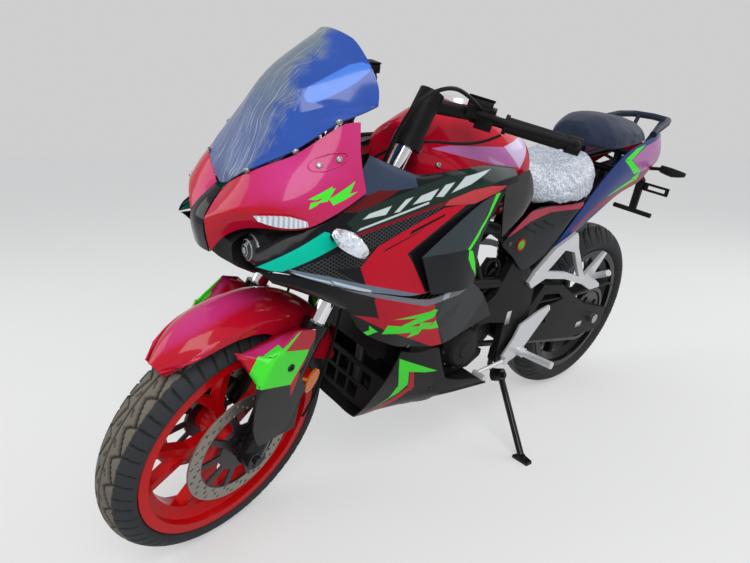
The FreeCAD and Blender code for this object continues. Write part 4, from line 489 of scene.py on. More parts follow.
def screen_finish(name, tint):
    """Dark blue glossy screen, a paler patch, and a wrinkled clear film over its front with painted
    highlights along its wrinkles.
    """
    tree, shader = start_material(name)
    position = object_place(tree, BIKE)
    spot = split(tree, position)
    patches = cloud(tree, position, 16.0, 4.0)
    base = blend_colour(tree, patches, shaded(tint, 0.7), tint)
    patch = times(tree, outline_mask(tree, position, SCREEN_PATCH, SCREEN_PATCH_SOFTNESS),
                  above(tree, spot["Y"], SCREEN_PATCH_LEFT_OF))
    base = blend_colour(tree, patch, base, (0.06, 0.2, 0.72))

    # Long wrinkles that run down the film and wander sideways
    down = along(tree, position, SCREEN_WAY)
    side = plus(tree, spot["Y"], swing(tree, cloud(tree, position, 7.0, 2.0), 0.1))
    layout = joined(tree, times(tree, down, 9.0), times(tree, side, FILM_LINES))
    lines = cloud(tree, layout, 1.0, 4.0, 0.6)

    # The film ends at an uneven edge that slants across the screen
    reach = plus(tree, times(tree, minus(tree, SCREEN_TOP, spot["Z"]), 0.26), 0.03)
    gap = minus(tree, plus(tree, reach, swing(tree, patches, 0.12)), spot["Y"])
    film = ramp(tree, gap, *FILM_EDGE)
    pale = blend_colour(tree, ramp(tree, spot["Z"], 0.95, 1.08), (0.09, 0.13, 0.24),
                        (0.19, 0.22, 0.17))
    base = blend_colour(tree, times(tree, film, 0.7), base, pale)
    # Painted highlights along the film's wrinkles
    glint = times(tree, ramp(tree, lines, 0.54, 0.68), film)
    fill(tree, shader.inputs, {
        "Base Color": blend_colour(tree, times(tree, glint, 0.75), base, (0.5, 0.56, 0.62)),
        "Normal": bump(tree, times(tree, film, lines), 0.5, 0.004),
        "Roughness": plus(tree, times(tree, film, 0.2), 0.12),
        "Specular IOR Level": 0.3, "Coat Weight": 0.2})


# Mesh helpers: metres, degrees, and millimetres for the reach from a side
MERGE = 0.00002
PANEL_FLATNESS = 12.0
PANEL_LEVELS = 2
SIDE_REACH = 600
BOLT_STEPS = 16
BOLT_MERGE = 0.00001


def add_object(name, data):
    """A new object of the scene."""
    made = bpy.data.objects.new(name, data)
    bpy.context.scene.collection.objects.link(made)
    return made


def shade_smooth(mesh):
    """Shades every face of a mesh smoothly."""
    for face in mesh.polygons:
        face.use_smooth = True


def finish_piece(bm, name, finish, body, node_name=None, smooth=40):
    """Turns a bmesh into a piece that rides on a body."""
    mesh = bpy.data.meshes.new(name)
    bm.to_mesh(mesh)
    bm.free()
    piece = add_object(name, mesh)
    mesh.materials.append(MATERIALS[finish])
    shade_smooth(mesh)
    mesh.set_sharp_from_angle(angle=math.radians(smooth))
    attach(piece, body)
    if node_name:
        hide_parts(node_name)
    return piece


def round_off(piece, levels):
    """Smooths a piece by subdivision."""
    curve = piece.modifiers.new("smooth", "SUBSURF")
    curve.levels = levels
    curve.render_levels = levels


def thicken(piece, thickness, offset=0.0):
    """Gives an open piece a wall."""
    wall = piece.modifiers.new("wall", "SOLIDIFY")
    wall.thickness = thickness
    wall.offset = offset


def apply_modifiers(piece):
    """Writes what the piece's modifiers make into its mesh."""
    graph = bpy.context.evaluated_depsgraph_get()
    mesh = bpy.data.meshes.new_from_object(piece.evaluated_get(graph), depsgraph=graph)
    piece.modifiers.clear()
    piece.data = mesh
    shade_smooth(mesh)


def node_cage(name, flat=2.0):
    """A merged copy of a node's mesh with its triangles joined into larger faces."""
    bm = bmesh.new()
    bm.from_mesh(frame["nodes"][name].data)
    bmesh.ops.remove_doubles(bm, verts=bm.verts, dist=MERGE)
    bmesh.ops.dissolve_degenerate(bm, edges=bm.edges, dist=MERGE)
    bmesh.ops.join_triangles(bm, faces=bm.faces, angle_face_threshold=math.radians(flat),
                             angle_shape_threshold=math.radians(170))
    return bm


def smooth_panel(name, piece_name, finish, body, crease):
    """A smooth skin over a panel's solid, with its edges kept sharp."""
    bm = node_cage(name, PANEL_FLATNESS)
    layer = bm.edges.layers.float.get("crease_edge") or bm.edges.layers.float.new("crease_edge")
    for edge in bm.edges:
        if len(edge.link_faces) == 2 and edge.calc_face_angle() > math.radians(crease):
            edge[layer] = 1.0
    round_off(finish_piece(bm, piece_name, finish, body, name), PANEL_LEVELS)


def dress(name, finish):
    """Gives a CAD node its finish."""
    target = frame["nodes"][name]
    if not target.material_slots:
        target.data.materials.append(MATERIALS[finish])
    for slot in target.material_slots:
        slot.material = MATERIALS[finish]


def surface_point(name, x, z, side, place=BIKE):
    """Where a level line from a side first meets a node, and the way that its face looks."""
    if name not in TREES:
        mesh = frame["nodes"][name].data
        TREES[name] = BVHTree.FromPolygons([v.co for v in mesh.vertices],
                                           [p.vertices for p in mesh.polygons])
    start = at(x, side * SIDE_REACH, z, place)
    way = (at(x, 0, z, place) - start).normalized()
    point, normal, _, _ = TREES[name].ray_cast(start, way)
    if point is None:
        raise RuntimeError(f"no face of {name} at {x}, {z}")
    if normal.dot(way) > 0:
        normal = -normal
    return point, normal


def surface_line(name, points, side, lift=0.0):
    """Points of a line drawn on a node, in the bike's millimetres."""
    line = []
    for x, z in points:
        point, normal = surface_point(name, x, z, side)
        line.append(tuple((BIKE.inverted() @ (point + normal * lift)) * 1000))
    return line


def stand_on(point, normal):
    """A placement whose Z axis follows a normal."""
    return Matrix.Translation(point) @ normal.to_track_quat("Z", "Y").to_matrix().to_4x4()


def full_spin(bm, verts, edges, steps):
    """Spins a section once round the Z axis."""
    bmesh.ops.spin(bm, geom=verts + edges, cent=(0, 0, 0), axis=(0, 0, 1), angle=math.tau,
                   steps=steps, use_merge=True)


def spin_profile(bm, profile, steps, place):
    """Spins (radius, height) millimetre points about Z and puts the result in place."""
    before = set(bm.verts)
    verts = [bm.verts.new((r / 1000, 0.0, h / 1000)) for r, h in profile]
    full_spin(bm, verts, [bm.edges.new(pair) for pair in zip(verts, verts[1:])], steps)
    made = [v for v in bm.verts if v not in before]
    bmesh.ops.remove_doubles(bm, verts=made, dist=BOLT_MERGE)
    made = [v for v in made if v.is_valid]
    bmesh.ops.recalc_face_normals(bm, faces=list({f for v in made for f in v.link_faces}))
    bmesh.ops.transform(bm, matrix=place, verts=made)


def button_bolt(bm, point, normal, radius, height):
    """A domed screw with a socket."""
    profile = [(0, height * 0.35), (radius * 0.42, height * 0.35), (radius * 0.46, height),
               (radius * 0.7, height * 0.95), (radius * 0.93, height * 0.6), (radius, 0.3),
               (radius, -1.0), (0, -1.0)]
    spin_profile(bm, profile, BOLT_STEPS, stand_on(point, normal))


def hose(name, points, radius, finish, body, place=BIKE):
    """A hose along points given in millimetres."""
    data = bpy.data.curves.new(name, "CURVE")
    data.dimensions = "3D"
    data.bevel_depth = radius / 1000
    data.bevel_resolution = 3
    data.resolution_u = 10
    data.use_fill_caps = True
    line = data.splines.new("NURBS")
    line.points.add(len(points) - 1)
    for spot, point in zip(line.points, points):
        spot.co = (*at(*point, place), 1.0)
    line.order_u = 3
    line.use_endpoint_u = True
    data.materials.append(MATERIALS[finish])
    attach(add_object(name, data), body)


# Settings a user would change
class StageSettings(bpy.types.PropertyGroup):
    floor_size: FloatProperty(name="Floor size", description="Width of the studio floor",
                              default=60.0, min=4.0, unit="LENGTH")
    floor_colour: FloatVectorProperty(name="Floor colour", description="Colour of the floor",
                                      subtype="COLOR", size=3, default=(0.46, 0.46, 0.455))
    world_level: FloatProperty(name="Sky level", description="Strength of the soft sky light",
                               default=0.5, min=0.0)
    key_power: FloatProperty(name="Key power", description="Power of the large soft lamp",
                             default=150.0, min=0.0, unit="POWER")
    fill_power: FloatProperty(name="Fill power", description="Power of each side lamp",
                              default=50.0, min=0.0, unit="POWER")


class PaintSettings(bpy.types.PropertyGroup):
    red: FloatVectorProperty(name="Red", description="Main red of the panels", subtype="COLOR",
                             size=3, default=(0.52, 0.004, 0.022))
    # Painted sky reflection: the pink that the red paint turns to on faces that look up
    sky_reflection_pink: FloatVectorProperty(name="Pink", description="Pink that the red turns to where it "
                              "looks up", subtype="COLOR", size=3, default=(0.6, 0.045, 0.27))
    lime: FloatVectorProperty(name="Lime", description="Lime of the flashes", subtype="COLOR",
                              size=3, default=(0.06, 0.82, 0.035))
    blue: FloatVectorProperty(name="Blue", description="Blue of the tail", subtype="COLOR",
                              size=3, default=(0.014, 0.04, 0.2))
    teal: FloatVectorProperty(name="Teal", description="Teal of the lamp stripe",
                              subtype="COLOR", size=3, default=(0.0, 0.5, 0.34))
    black: FloatVectorProperty(name="Black", description="Gloss black of the panels",
                               subtype="COLOR", size=3, default=(0.008, 0.008, 0.01))
    screen: FloatVectorProperty(name="Screen tint", description="Blue of the windscreen",
                                subtype="COLOR", size=3, default=(0.022, 0.085, 0.42))


class TyreSettings(bpy.types.PropertyGroup):
    cell_steps: IntProperty(name="Steps in a tread cell", description="Mesh steps round the "
                            "tyre in one repeat of the tread", default=26, min=8, max=40)
    groove: FloatProperty(name="Groove depth", description="Depth of the tread grooves",
                          default=0.0045, min=0.0, max=0.01, unit="LENGTH")


class SeatSettings(bpy.types.PropertyGroup):
    voxel: FloatProperty(name="Remesh size", description="Grid size of the seats before cloth",
                         default=0.006, min=0.003, max=0.02, unit="LENGTH")
    swell: FloatProperty(name="Swell", description="Furthest that the foam pushes a seat out",
                         default=0.005, min=0.0, max=0.03, unit="LENGTH")
    wrinkle: FloatProperty(name="Wrinkle height", description="Height of the foam sheet's folds",
                           default=0.007, min=0.0, max=0.02, unit="LENGTH")


# Side-view outlines of the stripes and vents, and of painted reflections and highlights, in millimetres
# of the upright bike
SCREEN_PATCH = [(1278, 1035), (1268, 1048), (1230, 1071), (1192, 1092), (1170, 1099),
                (1158, 1096), (1160, 1087), (1187, 1066), (1231, 1041), (1265, 1024),
                (1277, 1024)]
COCKPIT_TRIM = [[(1205, 874), (1066, 885), (1066, 965), (1205, 965)],
                [(1066, 885), (900, 919), (745, 935), (745, 995), (1066, 965)]]
WEDGE = [[(1245, 848), (1224, 862), (1192, 874), (1159, 883), (1113, 881), (1198, 848)]]
UPPER_STRIP = [[(1241, 830), (1210, 850), (1127, 870), (1066, 885), (900, 916), (755, 932),
                (770, 893), (982, 855), (1221, 811)]]
STRIP_BARS = [[(1206, 835), (1190, 844), (1136, 855), (1152, 840)],
              [(1132, 842), (1100, 864), (1080, 868), (1118, 843)],
              [(1084, 854), (1060, 869), (1010, 880), (1035, 860)],
              [(1020, 865), (990, 886), (962, 890), (1000, 864)],
              [(976, 870), (928, 899), (840, 910), (915, 884)]]
STRIP_LINE = [[(1221, 815), (1213, 820), (1040, 857), (1040, 853)]]
UPPER_MESH = [[(1219, 807), (1119, 828), (991, 852), (992, 844), (1093, 811), (1185, 778)]]
MESH_LINE = [[(1221, 812), (985, 856), (982, 851), (1220, 806)]]
RED_FLANK = [[(1212, 747), (1174, 782), (1098, 809), (997, 842), (929, 846), (1096, 758)],
             [(1213, 748), (1096, 760), (1080, 741), (1054, 704), (1005, 630), (1188, 690)]]
RED_TIP = [[(997, 846), (982, 857), (906, 873), (848, 878), (793, 875), (821, 864), (906, 845)]]
FLANK_DASHES = [[(1162, 769), (1066, 799), (1055, 804), (1153, 775)],
                [(1093, 796), (997, 825), (992, 831), (1088, 804)]]
SIDE_MESH = [[(1339, 755), (1335, 759), (1228, 790), (1212, 747)],
             [(1228, 790), (1187, 774), (1212, 747)],
             [(1339, 755), (1212, 747), (1189, 699), (1203, 708)]]
LAMP_STRIPE = [[(1402, 757), (1286, 818), (1277, 816), (1262, 793), (1363, 751), (1380, 751)]]
CLEAR_STRIP = [[(1358, 757), (1279, 738), (1268, 716), (1335, 743)],
               [(1280, 738), (1183, 706), (1176, 680), (1267, 716)],
               [(1184, 706), (1000, 647), (1005, 620), (1177, 680)],
               [(1001, 647), (884, 641), (880, 618), (1006, 620)],
               [(885, 641), (828, 658), (812, 642), (881, 618)]]
# Painted highlights along the clear strips
STRIP_GLINT = [[(1350, 750), (1280, 729), (1270, 722), (1340, 745)],
               [(1275, 730), (1183, 697), (1180, 689), (1268, 722)],
               [(950, 638), (925, 637), (925, 622), (950, 622)]]
LOWER_RED = [[(1185, 705), (1000, 658), (879, 455), (1106, 578), (1143, 618), (1162, 664)],
             [(1198, 634), (1140, 618), (1104, 577)]]
LOWER_SLASHES = [[(1099, 605), (1033, 602), (960, 600), (965, 587), (1030, 593)],
                 [(1063, 580), (971, 602), (955, 597), (961, 577), (1042, 571)],
                 [(1109, 566), (1103, 590), (998, 561), (1016, 549), (1087, 562)],
                 [(1004, 557), (1001, 573), (955, 560), (981, 548)],
                 [(958, 559), (896, 587), (860, 598), (872, 563), (927, 550)],
                 [(981, 549), (944, 557), (880, 544), (907, 536), (958, 542)],
                 [(1027, 535), (1017, 554), (986, 554), (993, 537)],
                 [(1166, 577), (1148, 584), (1133, 572), (1151, 567)],
                 [(1151, 598), (1122, 575), (1142, 572)]]
REAR_FACET = [[(941, 620), (813, 636), (743, 585), (790, 518), (870, 462), (948, 566)]]
PAN_LIME = [[(1028, 474), (874, 390), (921, 399), (981, 420), (1016, 432)],
            [(1017, 436), (981, 424), (962, 368), (992, 370)],
            [(994, 375), (964, 369), (980, 343), (1003, 328)],
            [(1002, 334), (980, 347), (1022, 304), (1058, 262)]]
PAN_RED = [[(975, 418), (962, 414), (936, 353), (941, 337), (958, 363)],
           [(958, 357), (936, 354), (964, 322), (1005, 286), (1004, 313)],
           [(1005, 313), (1005, 286), (1058, 262)]]
KNEE_LIME = [[(924, 748), (909, 745), (857, 668), (898, 701), (921, 728)],
             [(818, 882), (832, 882), (860, 818), (850, 812)],
             [(849, 814), (859, 819), (930, 752), (921, 747)]]
KNEE_TOP = [[(1105, 752), (915, 752), (815, 900), (1010, 850)]]
NOSE_SLASHES = [[(1315, 875), (1271, 897), (1277, 883), (1303, 874)],
                [(1317, 852), (1312, 869), (1278, 876), (1303, 864)],
                [(1300, 869), (1275, 892), (1266, 894), (1282, 872)],
                [(1266, 877), (1278, 876), (1226, 905), (1238, 885)],
                [(1270, 863), (1279, 876), (1212, 889), (1244, 876)]]
TAIL_LIME = [[(51, 925), (-17, 936), (71, 891), (115, 894)],
             [(118, 891), (71, 891), (-36, 846), (17, 842)],
             [(-36, 847), (-29, 817), (20, 829)],
             [(20, 830), (-12, 818), (229, 770), (125, 797)]]
TAIL_PINK = [[(66, 892), (-20, 930), (-210, 960), (-210, 880), (-139, 857), (-38, 843)]]
TAIL_RED = [[(-210, 880), (-139, 860), (-38, 843), (80, 794), (-38, 800), (-150, 830),
             (-210, 850)],
            [(80, 795), (211, 767), (205, 750), (-38, 799)],
            [(211, 768), (342, 698), (342, 688), (205, 751)]]
COVER_RED = [[(730, 702), (580, 775), (584, 748), (690, 704)],
             [(584, 776), (495, 781), (492, 764), (584, 748)],
             [(495, 781), (290, 777), (290, 759), (492, 765)]]
GUARD_LIME = [[(1425, 558), (1377, 584), (1306, 616), (1350, 571), (1390, 550)],
              [(1424, 552), (1350, 572), (1278, 548), (1321, 474), (1408, 503)]]
GUARD_BLACK = [[(1281, 548), (1321, 475), (1300, 320), (1220, 320), (1220, 600), (1266, 600)],
               [(1320, 475), (1414, 505), (1460, 500), (1460, 320), (1290, 320)]]
# Painted sky reflection in pink along the tank, and a painted highlight on one of its facets
TANK_SKY_REFLECTION = [[(938, 935), (889, 942), (725, 942), (650, 925), (684, 890), (764, 904),
               (891, 916)]]
TANK_GLINT = [[(727, 943), (656, 964), (615, 950), (672, 892)]]


# Finishes
MATT = (0.008, 0.008, 0.009)
BODY_PAINT = {"spread": 0.05, "grain": 0.02, "scale": 240}
CLEAR = (0.14, 0.19, 0.24)
# Colour of the painted highlights along the clear strips
GLINT = (0.5, 0.6, 0.68)

# Colour, gloss, unevenness of the gloss, height and scale of the grain, dust and extras
PLAIN_FINISHES = {
    "satin_frame": (MATT, 0.42, 0.12, 0.15, 700, 0.08, {}),
    "cast_black": ((0.014, 0.014, 0.015), 0.45, 0.15, 0.5, 420, 0.15, {"metallic": 0.2}),
    "black_plastic": (MATT, 0.5, 0.12, 0.5, 1400, 0.12, {}),
    "cord_rubber": ((0.01, 0.01, 0.011), 0.4, 0.1, 0.2, 900, 0.1, {}),
    "steel": ((0.42, 0.41, 0.39), 0.3, 0.15, 0.2, 500, 0.2, {"metallic": 1.0}),
    "dark_steel": ((0.1, 0.1, 0.1), 0.4, 0.15, 0.2, 500, 0.25, {"metallic": 0.9}),
    "disc_steel": ((0.36, 0.35, 0.32), 0.38, 0.12, 0.15, 300, 0.1, {"metallic": 0.85}),
    "alloy": ((0.72, 0.73, 0.75), 0.35, 0.12, 0.25, 600, 0.1, {"metallic": 0.5}),
    "chrome": ((0.78, 0.78, 0.8), 0.06, 0.04, 0.02, 400, 0.05, {"metallic": 1.0}),
    "red_wheel": ((0.62, 0.001, 0.004), 0.25, 0.08, 0.08, 500, 0.05,
                  {"coat": 0.15, "tint": 0.06}),
    "grip_rubber": ((0.012, 0.012, 0.013), 0.55, 0.1, 0.6, 1300, 0.1, {}),
    "seat_cover": ((0.02, 0.03, 0.06), 0.45, 0.1, 0.9, 900, 0.05, {"sheen": 0.1}),
    "amber_lens": ((0.75, 0.16, 0.005), 0.15, 0.05, 0.6, 400, 0.1, {"coat": 0.8}),
    "red_lens": ((0.3, 0.004, 0.006), 0.12, 0.05, 0.1, 200, 0.1, {"coat": 0.8}),
    "lime_paint": ((0.03, 0.62, 0.02), 0.3, 0.05, 0.02, 300, 0.02, {}),
    "rail": ((0.02, 0.03, 0.055), 0.35, 0.1, 0.1, 500, 0.05, {}),
    "label": ((0.62, 0.63, 0.63), 0.4, 0.1, 0.1, 500, 0.2, {}),
}

NODES_BY_FINISH = {
    "satin_frame": ("frame_left", "frame_right", "head_tube", "subframe", "swingarm",
                    "stand_bracket", "handlebars"),
    "cast_black": ("engine_block", "engine_covers", "radiator", "rear_caliper",
                   "front_calipers"),
    "black_gloss": ("muffler", "rear_shock", "fork_sliders", "fork_yokes", "rear_rim",
                    "side_stand"),
    "black_plastic": ("lamp_mask", "belly_grille", "rear_indicators", "undertray",
                      "hand_controls"),
    "dark_steel": ("exhaust_header", "chain", "drive_sprocket", "rear_sprocket"),
    "alloy": ("footrests", "passenger_rests", "fuel_cap"),
    "steel": ("axle_bolts",),
    "chrome": ("fork_tubes",),
    "lamp_glass": ("front_lamps",),
    "foil": ("front_indicators",),
    "red_lens": ("tail_lamp",),
    "amber_lens": ("fork_reflectors",),
    "rail": ("grab_rail",),
    "grip_rubber": ("grips",),
    "red_wheel": ("front_rim",),
    "disc_front": ("front_discs",),
    "disc_steel": ("rear_disc",),
}

# Node, name of its skin, finish, body and the least angle of an edge that stays sharp
PANELS = (
    ("windscreen", "screen_skin", "screen", "chassis", 38),
    ("nose_halves", "nose_skin", "red_panel", "chassis", 38),
    ("nose_centre_strip", "strip_skin", "black_gloss", "chassis", 50),
    ("side_fairings", "upper_skin", "upper_livery", "chassis", 30),
    ("lower_fairings", "lower_skin", "lower_livery", "chassis", 30),
    ("knee_panels", "knee_skin", "knee_livery", "chassis", 25),
    ("belly_pan", "belly_skin", "belly_livery", "chassis", 30),
    ("fuel_tank", "tank_skin", "red_paint", "chassis", 22),
    ("tank_trims", "trim_skin", "black_gloss", "chassis", 30),
    ("side_covers", "cover_skin", "cover_livery", "chassis", 30),
    ("tail_panels", "tail_skin", "tail_livery", "chassis", 28),
    ("front_fender", "fender_skin", "fender_livery", "steering", 38),
)


def build_paints(paint):
    """The glossy paints and the drawn areas of the painted panels."""
    red, lime, sky_reflection_pink = tuple(paint.red), tuple(paint.lime), tuple(paint.sky_reflection_pink)
    black = tuple(paint.black)
    pale = (0.55, 0.62, 0.62)
    surface("black_gloss", black, 0.14, 0.06, 0.02, 300, 0.05, coat=0.25)
    # The tank's red paint carries a painted pink sky reflection and a painted lavender highlight
    surface("red_paint", red, 0.16, dust=0.03, coat=0.35, tint=0.04, **BODY_PAINT,
            areas=(((0.5, 0.16, 0.42), 0.16, TANK_SKY_REFLECTION), ((0.62, 0.5, 0.72), 0.16, TANK_GLINT)))
    # Painted sky reflection in pink on the faces of the nose that look up and to the left
    surface("red_panel", red, 0.18, dust=0.03, coat=0.3, tint=0.04, **BODY_PAINT,
            sky=(sky_reflection_pink, (-0.1, 0.55, 0.83), 0.35, 0.8), areas=((lime, 0.25, NOSE_SLASHES),))
    surface("upper_livery", black, 0.16, dust=0.02, coat=0.04, **BODY_PAINT, areas=(
        ((0.035, 0.05, 0.09), 0.35, COCKPIT_TRIM),
        ((0.11, 0.008, 0.01), 0.2, WEDGE),
        ((0.014, 0.028, 0.022), 0.12, UPPER_STRIP),
        (pale, 0.3, STRIP_BARS), (pale, 0.3, STRIP_LINE),
        (MESH, 0.5, UPPER_MESH), ((0.2, 0.006, 0.015), 0.3, MESH_LINE),
        (red, 0.2, RED_FLANK), ((0.02, 0.002, 0.003), 0.3, FLANK_DASHES),
        ((0.5, 0.05, 0.06), 0.2, RED_TIP), (MESH, 0.5, SIDE_MESH),
        (tuple(paint.teal), 0.3, LAMP_STRIPE), (CLEAR, 0.08, CLEAR_STRIP),
        (GLINT, 0.08, STRIP_GLINT)))
    surface("lower_livery", black, 0.18, dust=0.04, coat=0.04, **BODY_PAINT, areas=(
        (red, 0.2, LOWER_RED), (lime, 0.3, LOWER_SLASHES),
        ((0.035, 0.038, 0.042), 0.4, REAR_FACET),
        ((0.22, 0.2, 0.24), 0.08, CLEAR_STRIP), (GLINT, 0.08, STRIP_GLINT)))
    surface("knee_livery", (0.014, 0.016, 0.018), 0.42, 0.1, 0.4, 1300, 0.05, areas=(
        ((0.04, 0.052, 0.06), 0.42, KNEE_TOP), (lime, 0.4, KNEE_LIME),
        (CLEAR, 0.08, CLEAR_STRIP)))
    surface("belly_livery", (0.007, 0.007, 0.008), 0.34, 0.1, 0.2, 900, 0.08,
            areas=((red, 0.3, PAN_RED), (lime, 0.3, PAN_LIME)))
    # Painted sky reflection in pink on the fender's faces that look up
    surface("fender_livery", red, 0.18, dust=0.05, coat=0.35, tint=0.04, place=FORK,
            **BODY_PAINT, sky=(sky_reflection_pink, (0.3, 0.3, 0.9), 0.85, 1.05), bare_middle=(-0.118, 0.1),
            areas=((lime, 0.3, GUARD_LIME), ((0.01, 0.01, 0.011), 0.3, GUARD_BLACK)))
    surface("tail_livery", tuple(paint.blue), 0.18, dust=0.02, coat=0.04, **BODY_PAINT, areas=(
        ((0.45, 0.16, 0.4), 0.15, TAIL_PINK), (shaded(red, 0.6), 0.2, TAIL_RED),
        (lime, 0.3, TAIL_LIME)))
    surface("cover_livery", (0.016, 0.018, 0.02), 0.4, 0.1, 0.3, 1300, 0.08,
            areas=(((0.42, 0.05, 0.08), 0.35, COVER_RED),))


class SPORTBIKE_OT_finishes(bpy.types.Operator):
    """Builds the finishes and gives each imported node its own"""
    bl_idname = "sportbike.finishes"
    bl_label = "Finishes"

    def execute(self, context):
        paint = context.scene.bike_paint
        GROUPS.update(edge=edge_group(), wire=wire_group(), grain=grain_group(),
                      dust=dust_group())
        for name, (*values, extras) in PLAIN_FINISHES.items():
            surface(name, *values, **extras)
        build_paints(paint)
        lamp_finish("lamp_glass")
        disc_finish("disc_front", FRONT_WHEEL, DISC_INNER)
        crinkled("foil", (0.16, 0.19, 0.26), (0.85, 0.9, 1.0), 0.16, 0.55, 26.0, 1.0, 0.6, 75.0,
                 "DISTANCE_TO_EDGE")
        crinkled("foam", (0.34, 0.38, 0.44), (0.72, 0.78, 0.86), 0.4, 0.0, 13.0, 0.5, 0.3, 190.0)
        tread_finish("front_tread", (0.022, 0.024, 0.028), (0.2, 0.175, 0.135))
        tread_finish("rear_tread", (0.016, 0.017, 0.019), (0.13, 0.125, 0.105))
        screen_finish("screen", tuple(paint.screen))
        for finish, names in NODES_BY_FINISH.items():
            for name in names:
                dress(name, finish)
        return {"FINISHED"}


class SPORTBIKE_OT_panels(bpy.types.Operator):
    """Lays a smooth skin over each body panel"""
    bl_idname = "sportbike.panels"
    bl_label = "Body panels"

    def execute(self, context):
        for panel in PANELS:
            smooth_panel(*panel)
        return {"FINISHED"}


# Seats and foam, in metres of the bike's frame
SMOOTH_PASSES = 5
CLOTH_PRESSURE = 4.0
CLOTH_FRAMES = 20
LEAST_SWELL = 0.15
FOAM_ENDS = (0.262, 0.592)
FOAM_HEM = 0.795
HEM_WAVER = 0.012
FOAM_LIFT = 0.0045
FOAM_WALL = 0.0012
LONG_FOLDS = (45, 18, 14)
SMALL_FOLDS = (90, 70)


def swell(piece, seat):
    """Lets cloth under pressure round a seat, no further than its swell allows."""
    before = [v.co.copy() for v in piece.data.vertices]
    cloth = piece.modifiers.new("foam", "CLOTH")
    cloth.settings.use_pressure = True
    cloth.settings.uniform_pressure_force = CLOTH_PRESSURE
    cloth.settings.effector_weights.gravity = 0.0
    for step in range(1, CLOTH_FRAMES + 1):
        bpy.context.scene.frame_set(step)
    apply_modifiers(piece)
    bpy.context.scene.frame_set(1)
    for vertex, start in zip(piece.data.vertices, before):
        push = vertex.co - start
        facing = max(LEAST_SWELL, min(1.0, vertex.normal.dot(BIKE_UP) + 0.5))
        if push.length > seat.swell * facing:
            vertex.co = start + push.normalized() * seat.swell * facing


def cushion(name, piece_name, body, seat):
    """A seat whose foam pushes its cover out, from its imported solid."""
    piece = finish_piece(node_cage(name), piece_name, "seat_cover", body, name)
    skin = piece.modifiers.new("skin", "REMESH")
    skin.mode = "VOXEL"
    skin.voxel_size = seat.voxel
    apply_modifiers(piece)
    bm = bmesh.new()
    bm.from_mesh(piece.data)
    for _ in range(SMOOTH_PASSES):
        bmesh.ops.smooth_vert(bm, verts=bm.verts, factor=0.5, use_axis_x=True, use_axis_y=True,
                              use_axis_z=True)
    bm.to_mesh(piece.data)
    bm.free()
    swell(piece, seat)
    round_off(piece, 1)
    apply_modifiers(piece)
    return piece


def foam_sheet(piece, seat):
    """A crinkled foam sheet that drapes over the rider's seat."""
    bm = bmesh.new()
    bm.from_mesh(piece.data)
    inverse = BIKE.inverted()
    back, front = FOAM_ENDS
    bare = []
    for face in bm.faces:
        spot = inverse @ face.calc_center_median()
        hem = FOAM_HEM + HEM_WAVER * noise.noise(Vector((spot.x * 25, spot.y * 8, 2.0)))
        if spot.z < hem or spot.x > front or spot.x < back:
            bare.append(face)
    bmesh.ops.delete(bm, geom=bare, context="FACES")
    bmesh.ops.delete(bm, geom=[v for v in bm.verts if not v.link_faces], context="VERTS")
    bm.normal_update()
    moves = []
    for vert in bm.verts:
        spot = inverse @ vert.co
        long_fold = noise.noise(Vector((
            spot.x * LONG_FOLDS[0] + spot.y * LONG_FOLDS[1], spot.y * LONG_FOLDS[2],
            spot.z * LONG_FOLDS[2])))
        small = noise.noise(Vector((spot.x * SMALL_FOLDS[0], spot.y * SMALL_FOLDS[1],
                                    spot.z * SMALL_FOLDS[1])))
        moves.append(FOAM_LIFT + seat.wrinkle * (abs(long_fold) + 0.3 * abs(small)))
    for vert, move in zip(bm.verts, moves):
        vert.co = vert.co + vert.normal * move
    sheet = finish_piece(bm, "foam_wrap", "foam", "chassis", smooth=80)
    thicken(sheet, FOAM_WALL, 1.0)


class SPORTBIKE_OT_seats(bpy.types.Operator):
    """Pads both seats and lays the foam sheet over the rider's"""
    bl_idname = "sportbike.seats"
    bl_label = "Seats"

    def execute(self, context):
        seat = context.scene.bike_seats
        rider = cushion("rider_seat", "rider_cushion", "chassis", seat)
        cushion("pillion_seat", "pillion_cushion", "chassis", seat)
        foam_sheet(rider, seat)
        return {"FINISHED"}


# Tyres, in millimetres: grooves as half widths and (share of a repeat, place across) points
FRONT_TREAD = ((2.1, ((0.0, 11), (-0.12, 18), (-0.19, 26), (-0.2, 38), (-0.14, 56))),
               (2.1, ((0.0, 11), (0.8, 25))),
               (1.9, ((0.33, 35), (0.36, 44), (0.4, 56))),
               (0.9, ((0.42, 4.5), (0.62, 8.5))))
REAR_TREAD = ((2.6, ((0.0, 6), (0.35, 20), (0.62, 36), (0.78, 54), (0.84, 70))),
              (2.6, ((0.5, 18), (0.85, 28), (1.12, 44), (1.28, 58), (1.34, 70))),
              (2.2, ((0.1, 54), (0.12, 70))))

# Node, piece and finish, body, place, sizes, grooves, repeats round the tyre, a middle groove;
# the sizes are radius, half width, crown radius, half rim, bead, wall and half of the dusty band
TYRES = (
    ("front_tyre", "front_tread", "front_wheel", FRONT_WHEEL,
     (FRONT_RADIUS, 55, 60, 42, 218.3, 237, 30), FRONT_TREAD, 28, True),
    ("rear_tyre", "rear_tread", "rear_wheel", REAR_WHEEL,
     (REAR_RADIUS, 70.5, 77, 55, 218.3, 237, 22), REAR_TREAD, 26, False),
)
TREAD_SHARE = 0.96
WALL_STEPS = 9
CROWN_STEPS = 44
TYRE_MERGE = 0.00005
GROOVE_EDGE = 1.2
GROOVE_FLANK = 1.4
MIDDLE_GROOVE = 1.9
GROOVED_BELOW_EDGE = 9
SHALLOW_BELOW_EDGE = 1
DUSTY_BELOW_EDGE = 30


def within(value):
    """A value held between 0 and 1."""
    return min(1.0, max(0.0, value))


